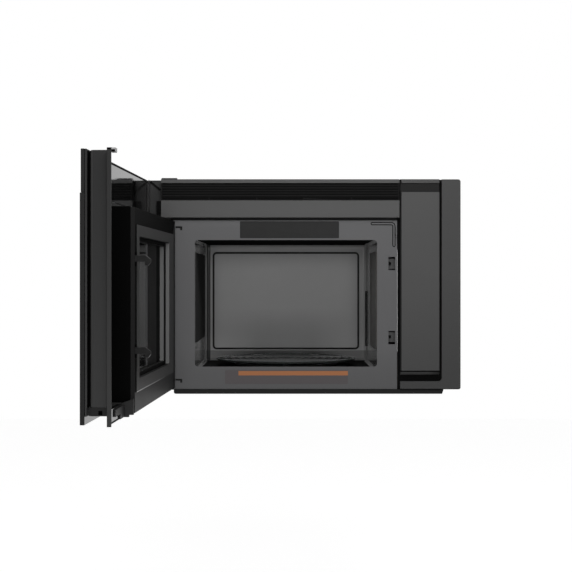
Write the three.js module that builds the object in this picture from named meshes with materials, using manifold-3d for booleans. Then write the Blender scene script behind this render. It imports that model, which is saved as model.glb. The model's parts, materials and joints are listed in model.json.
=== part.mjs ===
// Over-the-range microwave, 24-inch class, shown with its door swung open.
// Millimetres. +X is the user's right, +Y runs from the front towards the wall, +Z is up.
// The origin is the centre of the wall plate's back face. Inside the case, pieces are written in the
// case's own numbers: Y = 0 on the front plate's face and Z = 0 at the underside of the case.
import * as THREE from 'three';
import { mergeVertices } from 'three/addons/utils/BufferGeometryUtils.js';
import Module from 'manifold-3d';

const wasm = await Module();
wasm.setup();

// ---- driving dimensions ----------------------------------------------------------------------------

// Case
const caseWidth = 606;
const caseHeight = 416;
const caseDepth = 320;
const sheet = 1; // thickness of the pressed steel sheets
const gap = 0.3; // clearance between neighbouring pieces
const notchWidth = 27; // the left front corner is cut back for the door's hinge edge
const notchDepth = 20;
const panFlange = 12; // height of the base pan's turned-up edge
const panSetback = 6;
const sideBottom = 8.7; // lower edge of the case's sides, the pan hangs below it
const foldThick = 1; // doubled corner of the left bulkhead
const foldDrop = 23;

// Oven
const cavityWidth = 354;
const cavityShift = 35.5; // the oven's centre lies this far left of the case's centre
const cavityBottom = 52.5; // lower lip of the oven's mouth above the case's underside
const ovenHeadroom = 117.5; // between the top of the oven and the top of the case
const rearRoom = 15; // between the back of the oven and the back of the case
const cavityHeight = caseHeight - cavityBottom - ovenHeadroom;
const cavityDepth = caseDepth - rearRoom;
const floorDrop = 8.5; // the oven floor lies below that lip
const cavityCorner = 6;
const linerWall = 1;
const backWall = 2.4;
const grooveInset = 16; // pressed groove in the back wall
const grooveWidth = 4;
const grooveDepth = 1;
const grooveCorner = 9;
const backCorner = 10; // radius where the oven's walls run into its back
const wallCoverFront = 4; // dark panel on the oven's left wall
const wallCoverRearGap = 29;
const wallCoverBottom = 98;
const wallCoverTopGap = 24;

// Front plate round the oven's mouth
const flangeLeft = 41.5;
const flangeRight = 39;
const flangeTop = 39;
const flangeBottom = 43.5;
const seamTop = 4.4; // shadow gap between the front plate and the trim band
const seamRight = 5.5; // shadow gap between the front plate and the right column

// Latch slots in the front plate
const slotWidth = 12.7;
const slotHeight = 26;
const slotFromEdge = 4;
const slotUpper = caseHeight - 163.2;
const slotLower = 109;

// Pressed L-shaped groove beside the oven's top right corner
const pressWidth = 6.2;
const pressLine = 1.6;
const pressDepth = 0.6;
const pressBend = 5.5;
const pressRun = 42.2;
const pressDrop = 42.3;
const pressFromRight = 3;
const pressFromTop = 4;
const pressBranchTop = 29.2;
const pressBranch = 5.8;

// Top vent grille and the trim band under it
const faceProud = 8; // how far the grille, trim and inset panel stand in front of the front plate
const lipHeight = 7.3;
const lugWidth = 30; // small raised lug at the left end of the lip
const lugHeight = 2.3;
const louvreBand = 33.4;
const louvreCount = 6;
const louvreRise = 7; // each blade climbs this far from its back edge to its front edge
const louvreThick = 1.5;
const grilleDepth = 11;
const trimWall = 1.2;

// Right column
const insetWidth = 75.5;
const columnGap = 5.2;
const frameProud = 5.5;
const frameCorner = 5;
const frameLowCorner = 4;
const insetWall = 2;
const insetEdge = 3.5;
const bandHeight = 17.5;
const bandSink = 2;
const ledgeTop = 45.5;
const ledgeHeight = 8.7;
const ledgeSink = 5;
const footSeam = 2.4;
const footSeamDeep = 2.5;
const footHeight = 24.4; // top of the bar that closes the column's foot
const footCorner = 7;

// Black trim strip under the front
const stripHeight = 8.7;
const stripProud = 3;
const stripCorner = 4;
const stripRightX = 270.4;
const stripSlant = 2.8; // the strip's right end slants back by this much towards its lower edge
const frameBottom = stripHeight + gap;

// Wall plate and rear
const wallPlateWidth = 560;
const wallPlateHeight = 110;
const wallPlateThick = 2;
const wallPlateBottom = 15;
const lagHole = 4;
const lagPitch = 130;
const screwHead = 4;
const screwThick = 1.4;
const screwMargin = 9;
const glandHole = 8;
const glandBore = 4.5;
const glandRim = 12;
const glandX = 235;
const glandFromBack = 58;
const glandY = caseDepth - glandFromBack;

// Turntable
const trayRadius = 144;
const trayThick = 4.2;
const trayRim = 1.6;
const rollerRadius = 5.5;
const rollerWidth = 8;
const rollerCircle = 113; // distance of the rollers' middles from the spindle
const rollerCount = 3;
const ringOuter = 106;
const ringInner = 98;
const ringHeight = 4;
const axleRadius = 1.8;
const hubRadius = 15;
const shaftRadius = 4;
const shaftLength = 17;
const motorSize = 50;
const motorHeight = 25;

// Microwave feed on the oven's right wall
const coverLength = 181;
const coverHeight = cavityHeight - 53;
const coverFront = 6;
const coverBottom = 84;
const coverThick = 0.8;
const coverCorner = 12;
const portLength = 80;
const portHeight = 60;
const guideDepth = 38;
const guideLength = 110;
const guideHeight = 102;
const guideFront = 50;
const guideBottom = caseHeight - 256;
const magnetronLength = 66;
const magnetronWidth = 80;
const magnetronHeight = 82;
const finCount = 6;
const finThick = 1.2;
const antennaRadius = 11;
const antennaLength = 22;

// Cooling fan behind the magnetron
const shroudY = caseDepth - 98;
const shroudThick = 3;
const shroudBottom = 148;
const shroudTop = caseHeight - 118;
const fanRadius = 48;
const fanTipGap = 4;
const fanHub = 13;
const fanDepth = 15;
const fanBlades = 5;
const fanShaft = 3;
const fanMotorSize = 40;
const fanMotorDepth = 24;
const strutThick = 4;
const strutWidth = 12;

// Power parts on the base pan and the right wall
const transformerLength = 90;
const transformerDepth = 76;
const transformerHeight = 74;
const transformerFront = 60;
const windingProud = 9;
const capacitorRadius = 24;
const capacitorHeight = 96;
const capacitorY = 190;
const boardThick = 1.6;
const standoff = 9;
const powerBoardLength = 140;
const powerBoardHeight = 66;
const powerBoardFront = 60;
const powerBoardBottom = 82;
const filterBoardLength = 110;
const filterBoardHeight = 70;
const filterBoardFront = 60;
const filterBoardBottom = caseHeight - 98;

// Door switches behind the latch slots
const bracketDepth = 45;
const bracketWall = 2;
const bracketOverhang = 14;
const switchLength = 17;
const switchHeight = 20;
const switchBack = 43;
const plungerLength = 12;
const plungerWidth = 4;
const plungerHeight = 6;
const plungerTravel = 1.5;
const hookToPlunger = 1.6; // how far the closed hook's tip stays in front of the plunger

// Vent blower above the oven
const wheelRadius = 45;
const wheelLength = 74;
const wheelBlades = 12;
const bladeWidth = 8;
const bladeThick = 1.6;
const wheelDisc = 3;
const wheelHub = 9;
const scrollGap = 4;
const scrollLength = 90;
const scrollDepth = 112;
const scrollY = caseDepth - 72;
const scrollBase = 3;
const scrollRise = 4;
const scrollSpacing = 200; // between the outer faces' inner ends, room for the motor
const ventMotorRadius = 29;
const ventMotorLength = 72;
const ventShaft = 5;
const outletHeight = 26;
const charcoalLength = 330;
const charcoalDepth = 11;
const charcoalHeight = 26;

// Grease filters and the cooktop lamp in the base pan
const greaseWidth = 150;
const greaseDepth = 210;
const greaseThick = 8;
const greaseLip = 6;
const greaseSlide = 8;
const greaseFront = 62;
const greaseLeftX = -205;
const greaseRightX = -15;
const lampWidth = 110;
const lampDepth = 38;
const lampX = -35.5;
const lampFront = 13;
const lampCoverThick = 2.4;
const lampHingeGap = 1;
const lampHousingHeight = 13;
const lampEar = 12;

// Door, written closed and then swung open about the hinge pins
const doorOpen = 92.75; // degrees
const hingeX = -267;
const hingeY = -20;
const pinRadius = 3.9;
const pinLength = 14;
const earThick = 3;
const earReach = 9; // ear's edge outside the pin's centre
const glassThick = 7.4;
const doorDepth = 59; // from the front plate to the back of the front glass
const glassLeft = -301;
const glassRight = 278;
const glassBottom = 6.5;
const glassTop = caseHeight - 1.5;
const upperGlassHeight = 64.5;
const upperGlassSink = 1.4;
const glassEdge = 2;
const bodyLeft = -275;
const bodyRight = 174.6;
const bodyBottom = 13.5;
const bodyTop = caseHeight - 80;
const bodyWall = 2;
const chokeLeft = -270;
const chokeTop = caseHeight - 82;
const chokeDepth = 6.6;
const chokeClear = 2.4; // between the closed choke frame and the front plate
const chokeSheet = 1.5;
const fieldLeft = -240;
const fieldRight = 166;
const fieldBottom = 44.8;
const fieldTop = caseHeight - 108.2;
const fieldRise = 1.4;
const windowLeft = -184;
const windowRight = 140;
const windowBottom = 65;
const windowTop = caseHeight - 126;
const windowCorner = 4;
const ledgeSide = 26; // ledges of the stepped recess in front of the window
const ledgeEnds = 7;
const ledgeDeep = 6.5;
const paneDeep = 13.5;
const windowGlass = 2.4;
const screenThick = 0.8;

// Door's free end
const channelInner = 236;
const channelStrip = 3.1;
const channelGroove = 3.4;
const channelGrooveDepth = 14;
const webX = 269.5;
const webChamfer = 3.8;
const webWall = 4;
const flangeFace = 19.5; // the flange's rear face lies this far in front of the front plate
const flangeThick = 6.5;
const flangeWidth = 3;
const flangeRight2 = 277.5;
const flangeLow = 4;
const webTop = caseHeight - 2.8;
const webSeam = 32;
const stripLow = 19; // lower end of the strip behind the glass
const capHeight = 12.7;
const capHole = 6;
const hookReturn = 6.3;
const hookReturnHeight = 6.5;
const railHeight = 22;
const railBottom = 8;
const blockWidth = 24;
const blockHeight = 22;
const blockStep = 4;
const wedgeWidth = 7.6; // wedge between the block and the choke frame
const wedgeTop = 36.5;
const wedgeBack = 3.5;
const wedgeLow = 11.5;
const wedgeStep = 10.7;
const armThick = 2; // arm of the block on the rail's face
const armRight = 255;
const armStep = 215;
const armTop = 27;
const armLow = 16.4;

// Latch
const latchWidth = 7.4;
const latchBarWidth = 22;
const latchBarDepth = 8;
const latchBarFront = 20;
const latchReach = 22; // how far the hooks reach behind the front plate when the door is shut
const latchLift = 4;
const latchHeight = 16;
const latchBarb = 6;
const latchTail = 10;

// Touch board behind the front glass
const touchLeft = 184;
const touchWidth = 50;
const touchBottom = 60;
const touchHeight = 260;

// ---- places that follow from the dimensions --------------------------------------------------------

const left = -caseWidth / 2;
const right = caseWidth / 2;
const cavityLeft = -cavityShift - cavityWidth / 2;
const cavityRight = cavityLeft + cavityWidth;
const cavityTop = cavityBottom + cavityHeight;
const floorTop = cavityBottom - floorDrop;
const plateLeft = cavityLeft - flangeLeft;
const plateRight = cavityRight + flangeRight;
const plateBottom = cavityBottom - flangeBottom;
const plateTop = cavityTop + flangeTop;
const grilleBottom = caseHeight - lipHeight - louvreBand;
const trimBottom = plateTop + seamTop;
const notchRight = left + notchWidth;
const insetLeft = plateRight + seamRight;
const insetRight = insetLeft + insetWidth;
const frameLeft = insetRight + columnGap;
const linerLeft = cavityLeft - linerWall;
const linerRight = cavityRight + linerWall;
const linerTop = cavityTop + linerWall;
const linerFloor = floorTop - linerWall;
const plateBack = sheet;
const innerRight = right - sheet;
const innerLeft = left + sheet;
const innerTop = caseHeight - sheet;
const bulkheadY = faceProud - frameProud; // face of the black sheet behind the right column
const spindleX = (cavityLeft + cavityRight) / 2;
const spindleY = cavityDepth / 2;
const slotX = plateRight - slotFromEdge - slotWidth / 2;
const slotHeights = [slotLower, slotUpper];

// ---- materials -------------------------------------------------------------------------------------

const paint = (color, roughness, metalness) =>
  new THREE.MeshStandardMaterial({ color, roughness, metalness });

// ---- making solids ---------------------------------------------------------------------------------

// A closed three.js geometry as a solid that can be cut and joined.
function solid(geometry) {
  geometry.deleteAttribute('normal');
  geometry.deleteAttribute('uv');
  const merged = mergeVertices(geometry, 1e-4);
  return new wasm.Manifold(new wasm.Mesh({
    numProp: 3,
    vertProperties: new Float32Array(merged.attributes.position.array),
    triVerts: new Uint32Array(merged.index.array),
  }));
}

const join = (...solids) => solids.reduce((sum, next) => sum.add(next));
const cut = (body, ...tools) => tools.reduce((rest, tool) => rest.subtract(tool), body);

// A box from its lowest to its highest corner.
function block([x0, x1], [y0, y1], [z0, z1]) {
  const box = new THREE.BoxGeometry(x1 - x0, y1 - y0, z1 - z0);
  return solid(box.translate((x0 + x1) / 2, (y0 + y1) / 2, (z0 + z1) / 2));
}

// A rectangle with one radius at all four corners, or a list of four from the lower left round.
function rounded([x0, x1], [z0, z1], radius) {
  const [a, b, c, d] = Array.isArray(radius) ? radius : [radius, radius, radius, radius];
  const shape = new THREE.Shape();
  shape.moveTo(x0 + a, z0);
  shape.lineTo(x1 - b, z0);
  if (b > 0) shape.absarc(x1 - b, z0 + b, b, -Math.PI / 2, 0);
  shape.lineTo(x1, z1 - c);
  if (c > 0) shape.absarc(x1 - c, z1 - c, c, 0, Math.PI / 2);
  shape.lineTo(x0 + d, z1);
  if (d > 0) shape.absarc(x0 + d, z1 - d, d, Math.PI / 2, Math.PI);
  shape.lineTo(x0, z0 + a);
  if (a > 0) shape.absarc(x0 + a, z0 + a, a, Math.PI, Math.PI * 1.5);
  return shape;
}

// An upright outline in X and Z, as thick as from yFront to yBack.
function upright(shape, [yFront, yBack], curveSegments = 5) {
  const options = { depth: yBack - yFront, bevelEnabled: false, curveSegments };
  const geometry = new THREE.ExtrudeGeometry(shape, options);
  return solid(geometry.rotateX(Math.PI / 2).translate(0, yBack, 0));
}

// An upright outline in Y and Z, as wide as from x0 to x1.
function sideways(shape, [x0, x1], curveSegments = 5) {
  const options = { depth: x1 - x0, bevelEnabled: false, curveSegments };
  const geometry = new THREE.ExtrudeGeometry(shape, options);
  const turn = new THREE.Matrix4().makeBasis(
    new THREE.Vector3(0, 1, 0), new THREE.Vector3(0, 0, 1), new THREE.Vector3(1, 0, 0));
  return solid(geometry.applyMatrix4(turn).translate(x0, 0, 0));
}

// A plan outline in X and Y, as tall as from z0 to z1.
function flat(shape, [z0, z1], curveSegments = 5) {
  const options = { depth: z1 - z0, bevelEnabled: false, curveSegments };
  return solid(new THREE.ExtrudeGeometry(shape, options).translate(0, 0, z0));
}

const outline = (points) => new THREE.Shape(points.map(([a, b]) => new THREE.Vector2(a, b)));

// A closed profile of [radius, height] points turned about an upright axis.
function turned(points, [x, y, z], sides) {
  const closed = [...points, points[0]].map(([r, h]) => new THREE.Vector2(r, h));
  const geometry = new THREE.LatheGeometry(closed, sides);
  return solid(geometry.rotateX(Math.PI / 2).translate(x, y, z));
}

// A round bar along one axis, from a to b on that axis, its middle line at the two other numbers.
function bar(axis, radius, [a, b], [p, q], sides = 16) {
  const geometry = new THREE.CylinderGeometry(radius, radius, b - a, sides);
  const middle = (a + b) / 2;
  if (axis === 'x') return solid(geometry.rotateZ(Math.PI / 2).translate(middle, p, q));
  if (axis === 'y') return solid(geometry.translate(p, middle, q));
  return solid(geometry.rotateX(Math.PI / 2).translate(p, q, middle));
}

// A solid put into the model as a named mesh.
function piece(group, name, body, material) {
  const { vertProperties, triVerts } = body.getMesh();
  const geometry = new THREE.BufferGeometry();
  geometry.setAttribute('position', new THREE.BufferAttribute(new Float32Array(vertProperties), 3));
  geometry.setIndex(new THREE.BufferAttribute(new Uint32Array(triVerts), 1));
  geometry.computeVertexNormals();
  const mesh = new THREE.Mesh(geometry, material);
  mesh.name = name;
  group.add(mesh);
}

const microwave = new THREE.Group();
microwave.position.set(0, -(caseDepth + gap + wallPlateThick), -(wallPlateBottom + wallPlateHeight / 2));

// ---- case ------------------------------------------------------------------------------------------

// Top and both sides, bent from one sheet, with the top's left front corner cut back and a hole for the cord.
function wrapCover() {
  const front = -faceProud + grilleDepth + gap;
  const over = 1;
  const around = block([left, right], [front, caseDepth], [sideBottom, caseHeight]);
  const inside = block([innerLeft, innerRight], [front - over, caseDepth + over], [-over, innerTop]);
  const notch = block([innerLeft, notchRight], [front - over, notchDepth], [-over, caseHeight + over]);
  const cordHole = bar('z', glandHole, [innerTop - over, caseHeight + over], [glandX, glandY]);
  return cut(around, inside, notch, cordHole);
}

// Back sheet with the heads of the screws that hold it.
function rearPanel() {
  const y = [caseDepth - sheet, caseDepth];
  const panel = block([innerLeft + gap, innerRight - gap], y, [sheet + gap, innerTop - gap]);
  const heights = [wallPlateBottom + wallPlateHeight + 40, innerTop - screwMargin];
  const heads = heights.flatMap((z) => [-1, -0.33, 0.33, 1].map((side) =>
    bar('y', screwHead, [y[0] + 0.2, y[1] + screwThick], [side * (innerRight - screwMargin), z], 10)));
  const corners = [[left, panLeft], [panRight, right]].map((x) => block(x, [y[0] - 1, y[1] + 1],
    [0, sideBottom]));
  return cut(join(panel, ...heads), ...corners);
}

const panFront = panSetback;
const panBack = caseDepth - sheet - gap;
const panLeft = plateLeft + 1;
const panRight = stripRightX - stripSlant;
const greaseX = [[greaseLeftX, greaseLeftX + greaseWidth], [greaseRightX, greaseRightX + greaseWidth]];
const greaseY = [greaseFront, greaseFront + greaseDepth];
const lampRange = [lampX - lampWidth / 2, lampX + lampWidth / 2];
const lampY = [lampFront, lampFront + lampDepth];

// Bottom sheet with raised side margins and turned-up edges, and openings for the grease filters and the lamp.
function basePan() {
  const x = [innerLeft + gap, innerRight - gap];
  const outer = block(x, [panFront, panBack], [0, sheet + panFlange]);
  const y = [panFront + sheet, panBack - sheet];
  const top = sheet + panFlange + 1;
  const well = block([panLeft + sheet, panRight - sheet], y, [sheet, top]);
  const margins = block([x[0] + sheet, x[1] - sheet], y, [sideBottom + sheet, top]);
  const under = [[left, panLeft], [panRight, right]].map((side) => block(side, [0, caseDepth], [-1, sideBottom]));
  const notch = block([left - 1, notchRight + gap], [panFront - 1, notchDepth + gap], [-1, panFlange + 3]);
  const openings = greaseX.map(([x0, x1]) =>
    block([x0 + greaseLip, x1 - greaseLip], [greaseY[0] + greaseLip, greaseY[1] - greaseLip], [-1, 3]));
  const lamp = block([lampRange[0] - gap, lampRange[1] + gap],
    [lampY[0] - gap, lampY[1] + lampHingeGap], [-1, 3]);
  return cut(outer, well, margins, ...under, notch, ...openings, lamp);
}

// Pressed plate round the oven's mouth, with latch slots, hinge slots and a pressed L-shaped groove.
function frontPlate() {
  const plate = block([plateLeft, plateRight], [0, plateBack], [plateBottom, grilleBottom - gap]);
  const through = [-1, plateBack + 1];
  const mouth = upright(rounded([cavityLeft, cavityRight], [cavityBottom, cavityTop], cavityCorner), through);
  const slots = slotHeights.map((z) => block([slotX - slotWidth / 2, slotX + slotWidth / 2], through,
    [z - slotHeight / 2, z + slotHeight / 2]));
  return cut(plate, mouth, ...slots, ...hingeSlots(through), pressedGroove());
}

// Two slots with a turned-down end, where the hinge brackets' tabs hook in.
const tabLong = 13;
const tabThick = 3.4;
const tabTip = 4;
const tabDrop = 7.4;
const tabInset = 4;
const tabFromEnd = 12.4;
function hingeSlots(y) {
  const x0 = plateLeft + tabInset;
  const x1 = x0 + tabLong;
  return [plateTop - tabFromEnd, plateBottom + tabFromEnd + tabDrop].flatMap((top) => [
    block([x0, x1], y, [top - tabThick, top]),
    block([x1 - tabTip, x1], y, [top - tabDrop, top]),
  ]);
}

function pressedGroove() {
  const x = plateRight - pressFromRight - pressWidth / 2;
  const z = plateTop - pressFromTop - pressWidth / 2;
  const through = [-1, pressDepth];
  const track = (w) => {
    const shape = new THREE.Shape();
    shape.moveTo(x - pressRun, z - w);
    shape.lineTo(x - pressBend, z - w);
    shape.absarc(x - pressBend, z - pressBend, pressBend - w, Math.PI / 2, 0, true);
    shape.lineTo(x - w, z - pressDrop);
    shape.absarc(x, z - pressDrop, w, Math.PI, Math.PI * 2);
    shape.lineTo(x + w, z - pressBend);
    shape.absarc(x - pressBend, z - pressBend, pressBend + w, 0, Math.PI / 2);
    shape.lineTo(x - pressRun, z + w);
    shape.absarc(x - pressRun, z, w, Math.PI / 2, Math.PI * 1.5);
    return shape;
  };
  const outer = pressWidth / 2;
  const ring = cut(upright(track(outer), through), upright(track(outer - pressLine), [-2, pressDepth + 1]));
  const top = plateTop - pressBranchTop;
  const edges = [top, top - pressBranch + pressLine / 2].map((level) => block(
    [x + outer - pressLine / 2, plateRight + 1], through, [level - pressLine / 2, level]));
  return join(ring, ...edges);
}

// Black sheets that close the case behind the joints of the front.
function cornerBulkhead() {
  const y = [notchDepth + gap, notchDepth + gap + sheet];
  const top = innerTop - gap;
  const flat1 = block([innerLeft + gap, linerLeft - gap], y, [sheet + panFlange + gap, top]);
  const fold = outline([[innerLeft + gap, top], [innerLeft + gap, top - 1], [notchRight, top - foldDrop],
    [notchRight, top]]);
  return join(flat1, upright(fold, [y[0] - foldThick, y[0] + sheet / 2]));
}

function rightBulkhead() {
  const x = [plateRight + 1, innerRight - gap];
  const y = [bulkheadY, bulkheadY + sheet];
  const besideGrille = block([plateRight, grilleX[1] + gap], [y[0] - 1, y[1] + 1], [grilleBottom - gap, caseHeight]);
  return cut(block(x, y, [stripHeight + gap, innerTop - gap]), besideGrille);
}

const cornerBlockWidth = 12;
const cornerBlockDepth = 9;
function cornerBlock() {
  const x = [notchRight - cornerBlockWidth - gap, notchRight - gap];
  return block(x, [notchDepth - cornerBlockDepth, notchDepth], [grilleBottom - 31, grilleBottom - gap]);
}

const grilleX = [notchRight - 1.4, insetLeft - 1.5];

// Lip, louvres and mullions of the exhaust grille along the top.
function topGrille() {
  const y = [-faceProud, -faceProud + grilleDepth];
  const lip = block(grilleX, y, [caseHeight - lipHeight, caseHeight]);
  const sill = block(grilleX, [y[0] + 1, y[1]], [grilleBottom, grilleBottom + louvreThick]);
  const louvres = [];
  const topFront = caseHeight - lipHeight;
  const pitch = (louvreBand - louvreRise - louvreThick) / (louvreCount - 1);
  for (let i = 0; i < louvreCount; i += 1) {
    const front = topFront - pitch * i;
    const blade = outline([[y[0] + 1, front], [y[1] - 3, front - louvreRise],
      [y[1] - 3, front - louvreRise + louvreThick], [y[0] + 1, front + louvreThick]]);
    louvres.push(sideways(blade, grilleX));
  }
  const posts = [];
  const postCount = 6;
  const postWidth = 2;
  for (let i = 0; i < postCount; i += 1) {
    const x = grilleX[0] + ((grilleX[1] - grilleX[0] - postWidth) * i) / (postCount - 1);
    const ends = i === 0 || i === postCount - 1;
    const front = ends ? y[0] : y[0] + 4;
    posts.push(block([x, x + postWidth], [front, y[1]], [grilleBottom, caseHeight - 1]));
  }
  const lug = block([grilleX[0] + 1, grilleX[0] + 1 + lugWidth], [y[0] + 1, y[1]],
    [caseHeight - 1, caseHeight + lugHeight]);
  return join(lip, lug, sill, ...louvres, ...posts);
}

// Folded band between the grille and the front plate.
function grilleTrim() {
  const z = [trimBottom, grilleBottom - gap];
  const outer = block(grilleX, [-faceProud, -gap], z);
  const inner = block([grilleX[0] + trimWall, grilleX[1] - trimWall], [-faceProud + trimWall, 1],
    [z[0] + trimWall, z[1] - trimWall]);
  return cut(outer, inner);
}

// Moulded panel of the right column: a lip, a sunk band, a plain field and a foot that curves inwards.
function rightInsetPanel() {
  const x = [insetLeft, insetRight];
  const back = bulkheadY - gap;
  const foot = ledgeTop - ledgeHeight;
  const plan = new THREE.Shape();
  plan.moveTo(x[1], back);
  plan.lineTo(x[0], back);
  plan.lineTo(x[0], -faceProud + insetEdge);
  plan.absarc(x[0] + insetEdge, -faceProud + insetEdge, insetEdge, Math.PI, Math.PI * 1.5);
  plan.lineTo(x[1], -faceProud);
  const body = flat(plan, [foot, caseHeight]);
  const hollow = block([x[0] + insetWall, x[1] - insetWall], [-faceProud + bandSink + insetWall, back + 1],
    [ledgeTop + insetWall, caseHeight - insetWall]);
  const band = block([x[0] - 1, x[1] + 1], [-faceProud - 1, -faceProud + bandSink],
    [caseHeight - lipHeight - bandHeight, caseHeight - lipHeight]);
  const under = new THREE.Shape();
  under.moveTo(-faceProud - 1, ledgeTop - footSeam);
  under.lineTo(-faceProud, ledgeTop - footSeam);
  under.quadraticCurveTo(-faceProud, foot + 2, -faceProud + ledgeSink, foot);
  under.lineTo(-faceProud + ledgeSink, foot - 1);
  under.lineTo(-faceProud - 1, foot - 1);
  const seam = block([x[0] - 1, x[1] + 1], [-faceProud - 1, -faceProud + footSeamDeep], [ledgeTop - footSeam, ledgeTop]);
  return cut(body, hollow, band, seam, sideways(under, [x[0] - 1, x[1] + 1]));
}

// Outer frame of the right column: an upright and the bar that closes the column's foot.
function rightFrame() {
  const y = [-frameProud, bulkheadY - gap];
  const upright1 = rounded([frameLeft, right], [frameBottom, caseHeight], [0, frameLowCorner, frameCorner, 0]);
  const bar1 = block([insetLeft, frameLeft + 1], y, [frameBottom, footHeight]);
  const fillet = new THREE.Shape();
  fillet.moveTo(frameLeft + 1, footHeight - 1);
  fillet.lineTo(frameLeft + 1, footHeight + footCorner);
  fillet.lineTo(frameLeft, footHeight + footCorner);
  fillet.absarc(frameLeft - footCorner, footHeight + footCorner, footCorner, 0, -Math.PI / 2, true);
  fillet.lineTo(frameLeft - footCorner, footHeight - 1);
  const hollow = block([frameLeft + insetWall, right - insetWall], [-frameProud + insetWall, y[1] + 1],
    [frameBottom + insetWall, caseHeight - insetWall - frameCorner]);
  return cut(join(upright(upright1, y), bar1, upright(fillet, y)), hollow);
}

function bottomTrim() {
  const left = plateLeft + 1;
  const shape = new THREE.Shape();
  shape.moveTo(left + stripCorner, 0);
  shape.lineTo(stripRightX - stripSlant, 0);
  shape.lineTo(stripRightX, stripHeight);
  shape.lineTo(left, stripHeight);
  shape.lineTo(left, stripCorner);
  shape.absarc(left + stripCorner, stripCorner, stripCorner, Math.PI, Math.PI * 1.5);
  const face = upright(shape, [-stripProud, -gap]);
  const foot = block([plateLeft + 1 + stripCorner, stripRightX - stripCorner], [-stripProud, panFront - gap],
    [0, sheet]);
  return join(face, foot);
}

function wallPlate() {
  const y = [caseDepth + gap, caseDepth + gap + wallPlateThick];
  const z = [wallPlateBottom, wallPlateBottom + wallPlateHeight];
  const plate = block([-wallPlateWidth / 2, wallPlateWidth / 2], y, z);
  const holes = [-1.5, -0.5, 0.5, 1.5].flatMap((step) => [z[0] + 18, z[1] - 18].map((height) =>
    bar('y', lagHole, [y[0] - 1, y[1] + 1], [step * lagPitch, height], 12)));
  return cut(plate, ...holes);
}

// Bushing where the supply cord leaves the top of the case.
function cordGland() {
  const neck = bar('z', glandHole - gap, [innerTop - 6, caseHeight + 2], [glandX, glandY]);
  const rim = bar('z', glandRim, [innerTop - 6, innerTop - gap], [glandX, glandY]);
  const bore = bar('z', glandBore, [innerTop - 9, caseHeight + 4], [glandX, glandY]);
  return cut(join(neck, rim), bore);
}

// ---- oven ------------------------------------------------------------------------------------------

const portY = guideFront + (guideLength - portLength) / 2;
const portZ = guideBottom + (guideHeight - portHeight) / 2;

function cavityLiner() {
  const front = plateBack + gap;
  const outside = rounded([linerLeft, linerRight], [linerFloor, linerTop], cavityCorner + linerWall);
  const inside = rounded([cavityLeft, cavityRight], [floorTop, cavityTop], cavityCorner);
  const plan = rounded([cavityLeft, cavityRight], [front - 1, cavityDepth], [0, 0, backCorner, backCorner]);
  const profile = rounded([front - 1, cavityDepth], [floorTop, cavityTop], [0, backCorner, backCorner, 0]);
  const room = upright(inside, [front - 1, cavityDepth])
    .intersect(flat(plan, [floorTop - 1, cavityTop + 1]))
    .intersect(sideways(profile, [cavityLeft - 1, cavityRight + 1]));
  const shell = cut(upright(outside, [front, cavityDepth + backWall]), room);
  const groove = (inset, radius) => upright(
    rounded([cavityLeft + inset, cavityRight - inset], [cavityBottom + inset, cavityTop - inset], radius),
    [cavityDepth - 1, cavityDepth + grooveDepth]);
  const ring = cut(groove(grooveInset, grooveCorner), groove(grooveInset + grooveWidth, grooveCorner - grooveWidth));
  const port = block([cavityRight - 2, linerRight + 1], [portY, portY + portLength], [portZ, portZ + portHeight]);
  const spindle = bar('z', shaftRadius + 3, [linerFloor - 1, floorTop + 1], [spindleX, spindleY]);
  return cut(shell, ring, port, spindle);
}

// Thin dark panel on the oven's left wall.
function wallCover() {
  const y = [wallCoverFront, cavityDepth - wallCoverRearGap];
  const shape = rounded(y, [wallCoverBottom, cavityTop - wallCoverTopGap], coverCorner);
  return sideways(shape, [cavityLeft + gap, cavityLeft + gap + coverThick]);
}

function waveguideCover() {
  const shape = rounded([coverFront, coverFront + coverLength], [coverBottom, coverBottom + coverHeight], coverCorner);
  return sideways(shape, [cavityRight - gap - coverThick, cavityRight - gap]);
}

function waveguide() {
  const x = [linerRight + gap, linerRight + gap + guideDepth];
  const y = [guideFront, guideFront + guideLength];
  const z = [guideBottom, guideBottom + guideHeight];
  const hollow = block([x[0] - 1, x[1] - sheet], [y[0] + sheet, y[1] - sheet], [z[0] + sheet, z[1] - sheet]);
  const antennaHole = bar('x', antennaRadius + 2, [x[1] - 3, x[1] + 1], [(y[0] + y[1]) / 2, (z[0] + z[1]) / 2]);
  return cut(block(x, y, z), hollow, antennaHole);
}

const magnetronX = linerRight + guideDepth + 2 * gap;
const magnetronY = guideFront + guideLength / 2;
const magnetronZ = guideBottom + guideHeight / 2;

// Yoke frame, anode barrel, cooling fins and the antenna that reaches into the waveguide.
function magnetron() {
  const x = [magnetronX, magnetronX + magnetronLength];
  const y = [magnetronY - magnetronWidth / 2, magnetronY + magnetronWidth / 2];
  const z = [magnetronZ - magnetronHeight / 2, magnetronZ + magnetronHeight / 2];
  const wall = 3;
  const yoke = cut(block(x, y, z), block([x[0] + wall, x[1] - wall], [y[0] - 1, y[1] + 1], [z[0] + wall, z[1] - wall]));
  const barrel = bar('x', 19, [x[0] + 1, x[1] - 1], [magnetronY, magnetronZ]);
  const fins = [];
  for (let i = 1; i <= finCount; i += 1) {
    const at = x[0] + (magnetronLength * i) / (finCount + 1);
    fins.push(block([at, at + finThick], [y[0] + 4, y[1] - 4], [z[0] + 1, z[1] - 1]));
  }
  const antenna = bar('x', antennaRadius, [x[0] - antennaLength, x[0] + 1], [magnetronY, magnetronZ]);
  const filterBox = block([x[1] - 1, x[1] + 18], [y[0] + 18, y[1] - 18], [z[0] + 14, z[1] - 14]);
  return join(yoke, barrel, ...fins, antenna, filterBox);
}

const fanX = (linerRight + innerRight) / 2;
const fanZ = (shroudBottom + shroudTop) / 2;

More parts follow.
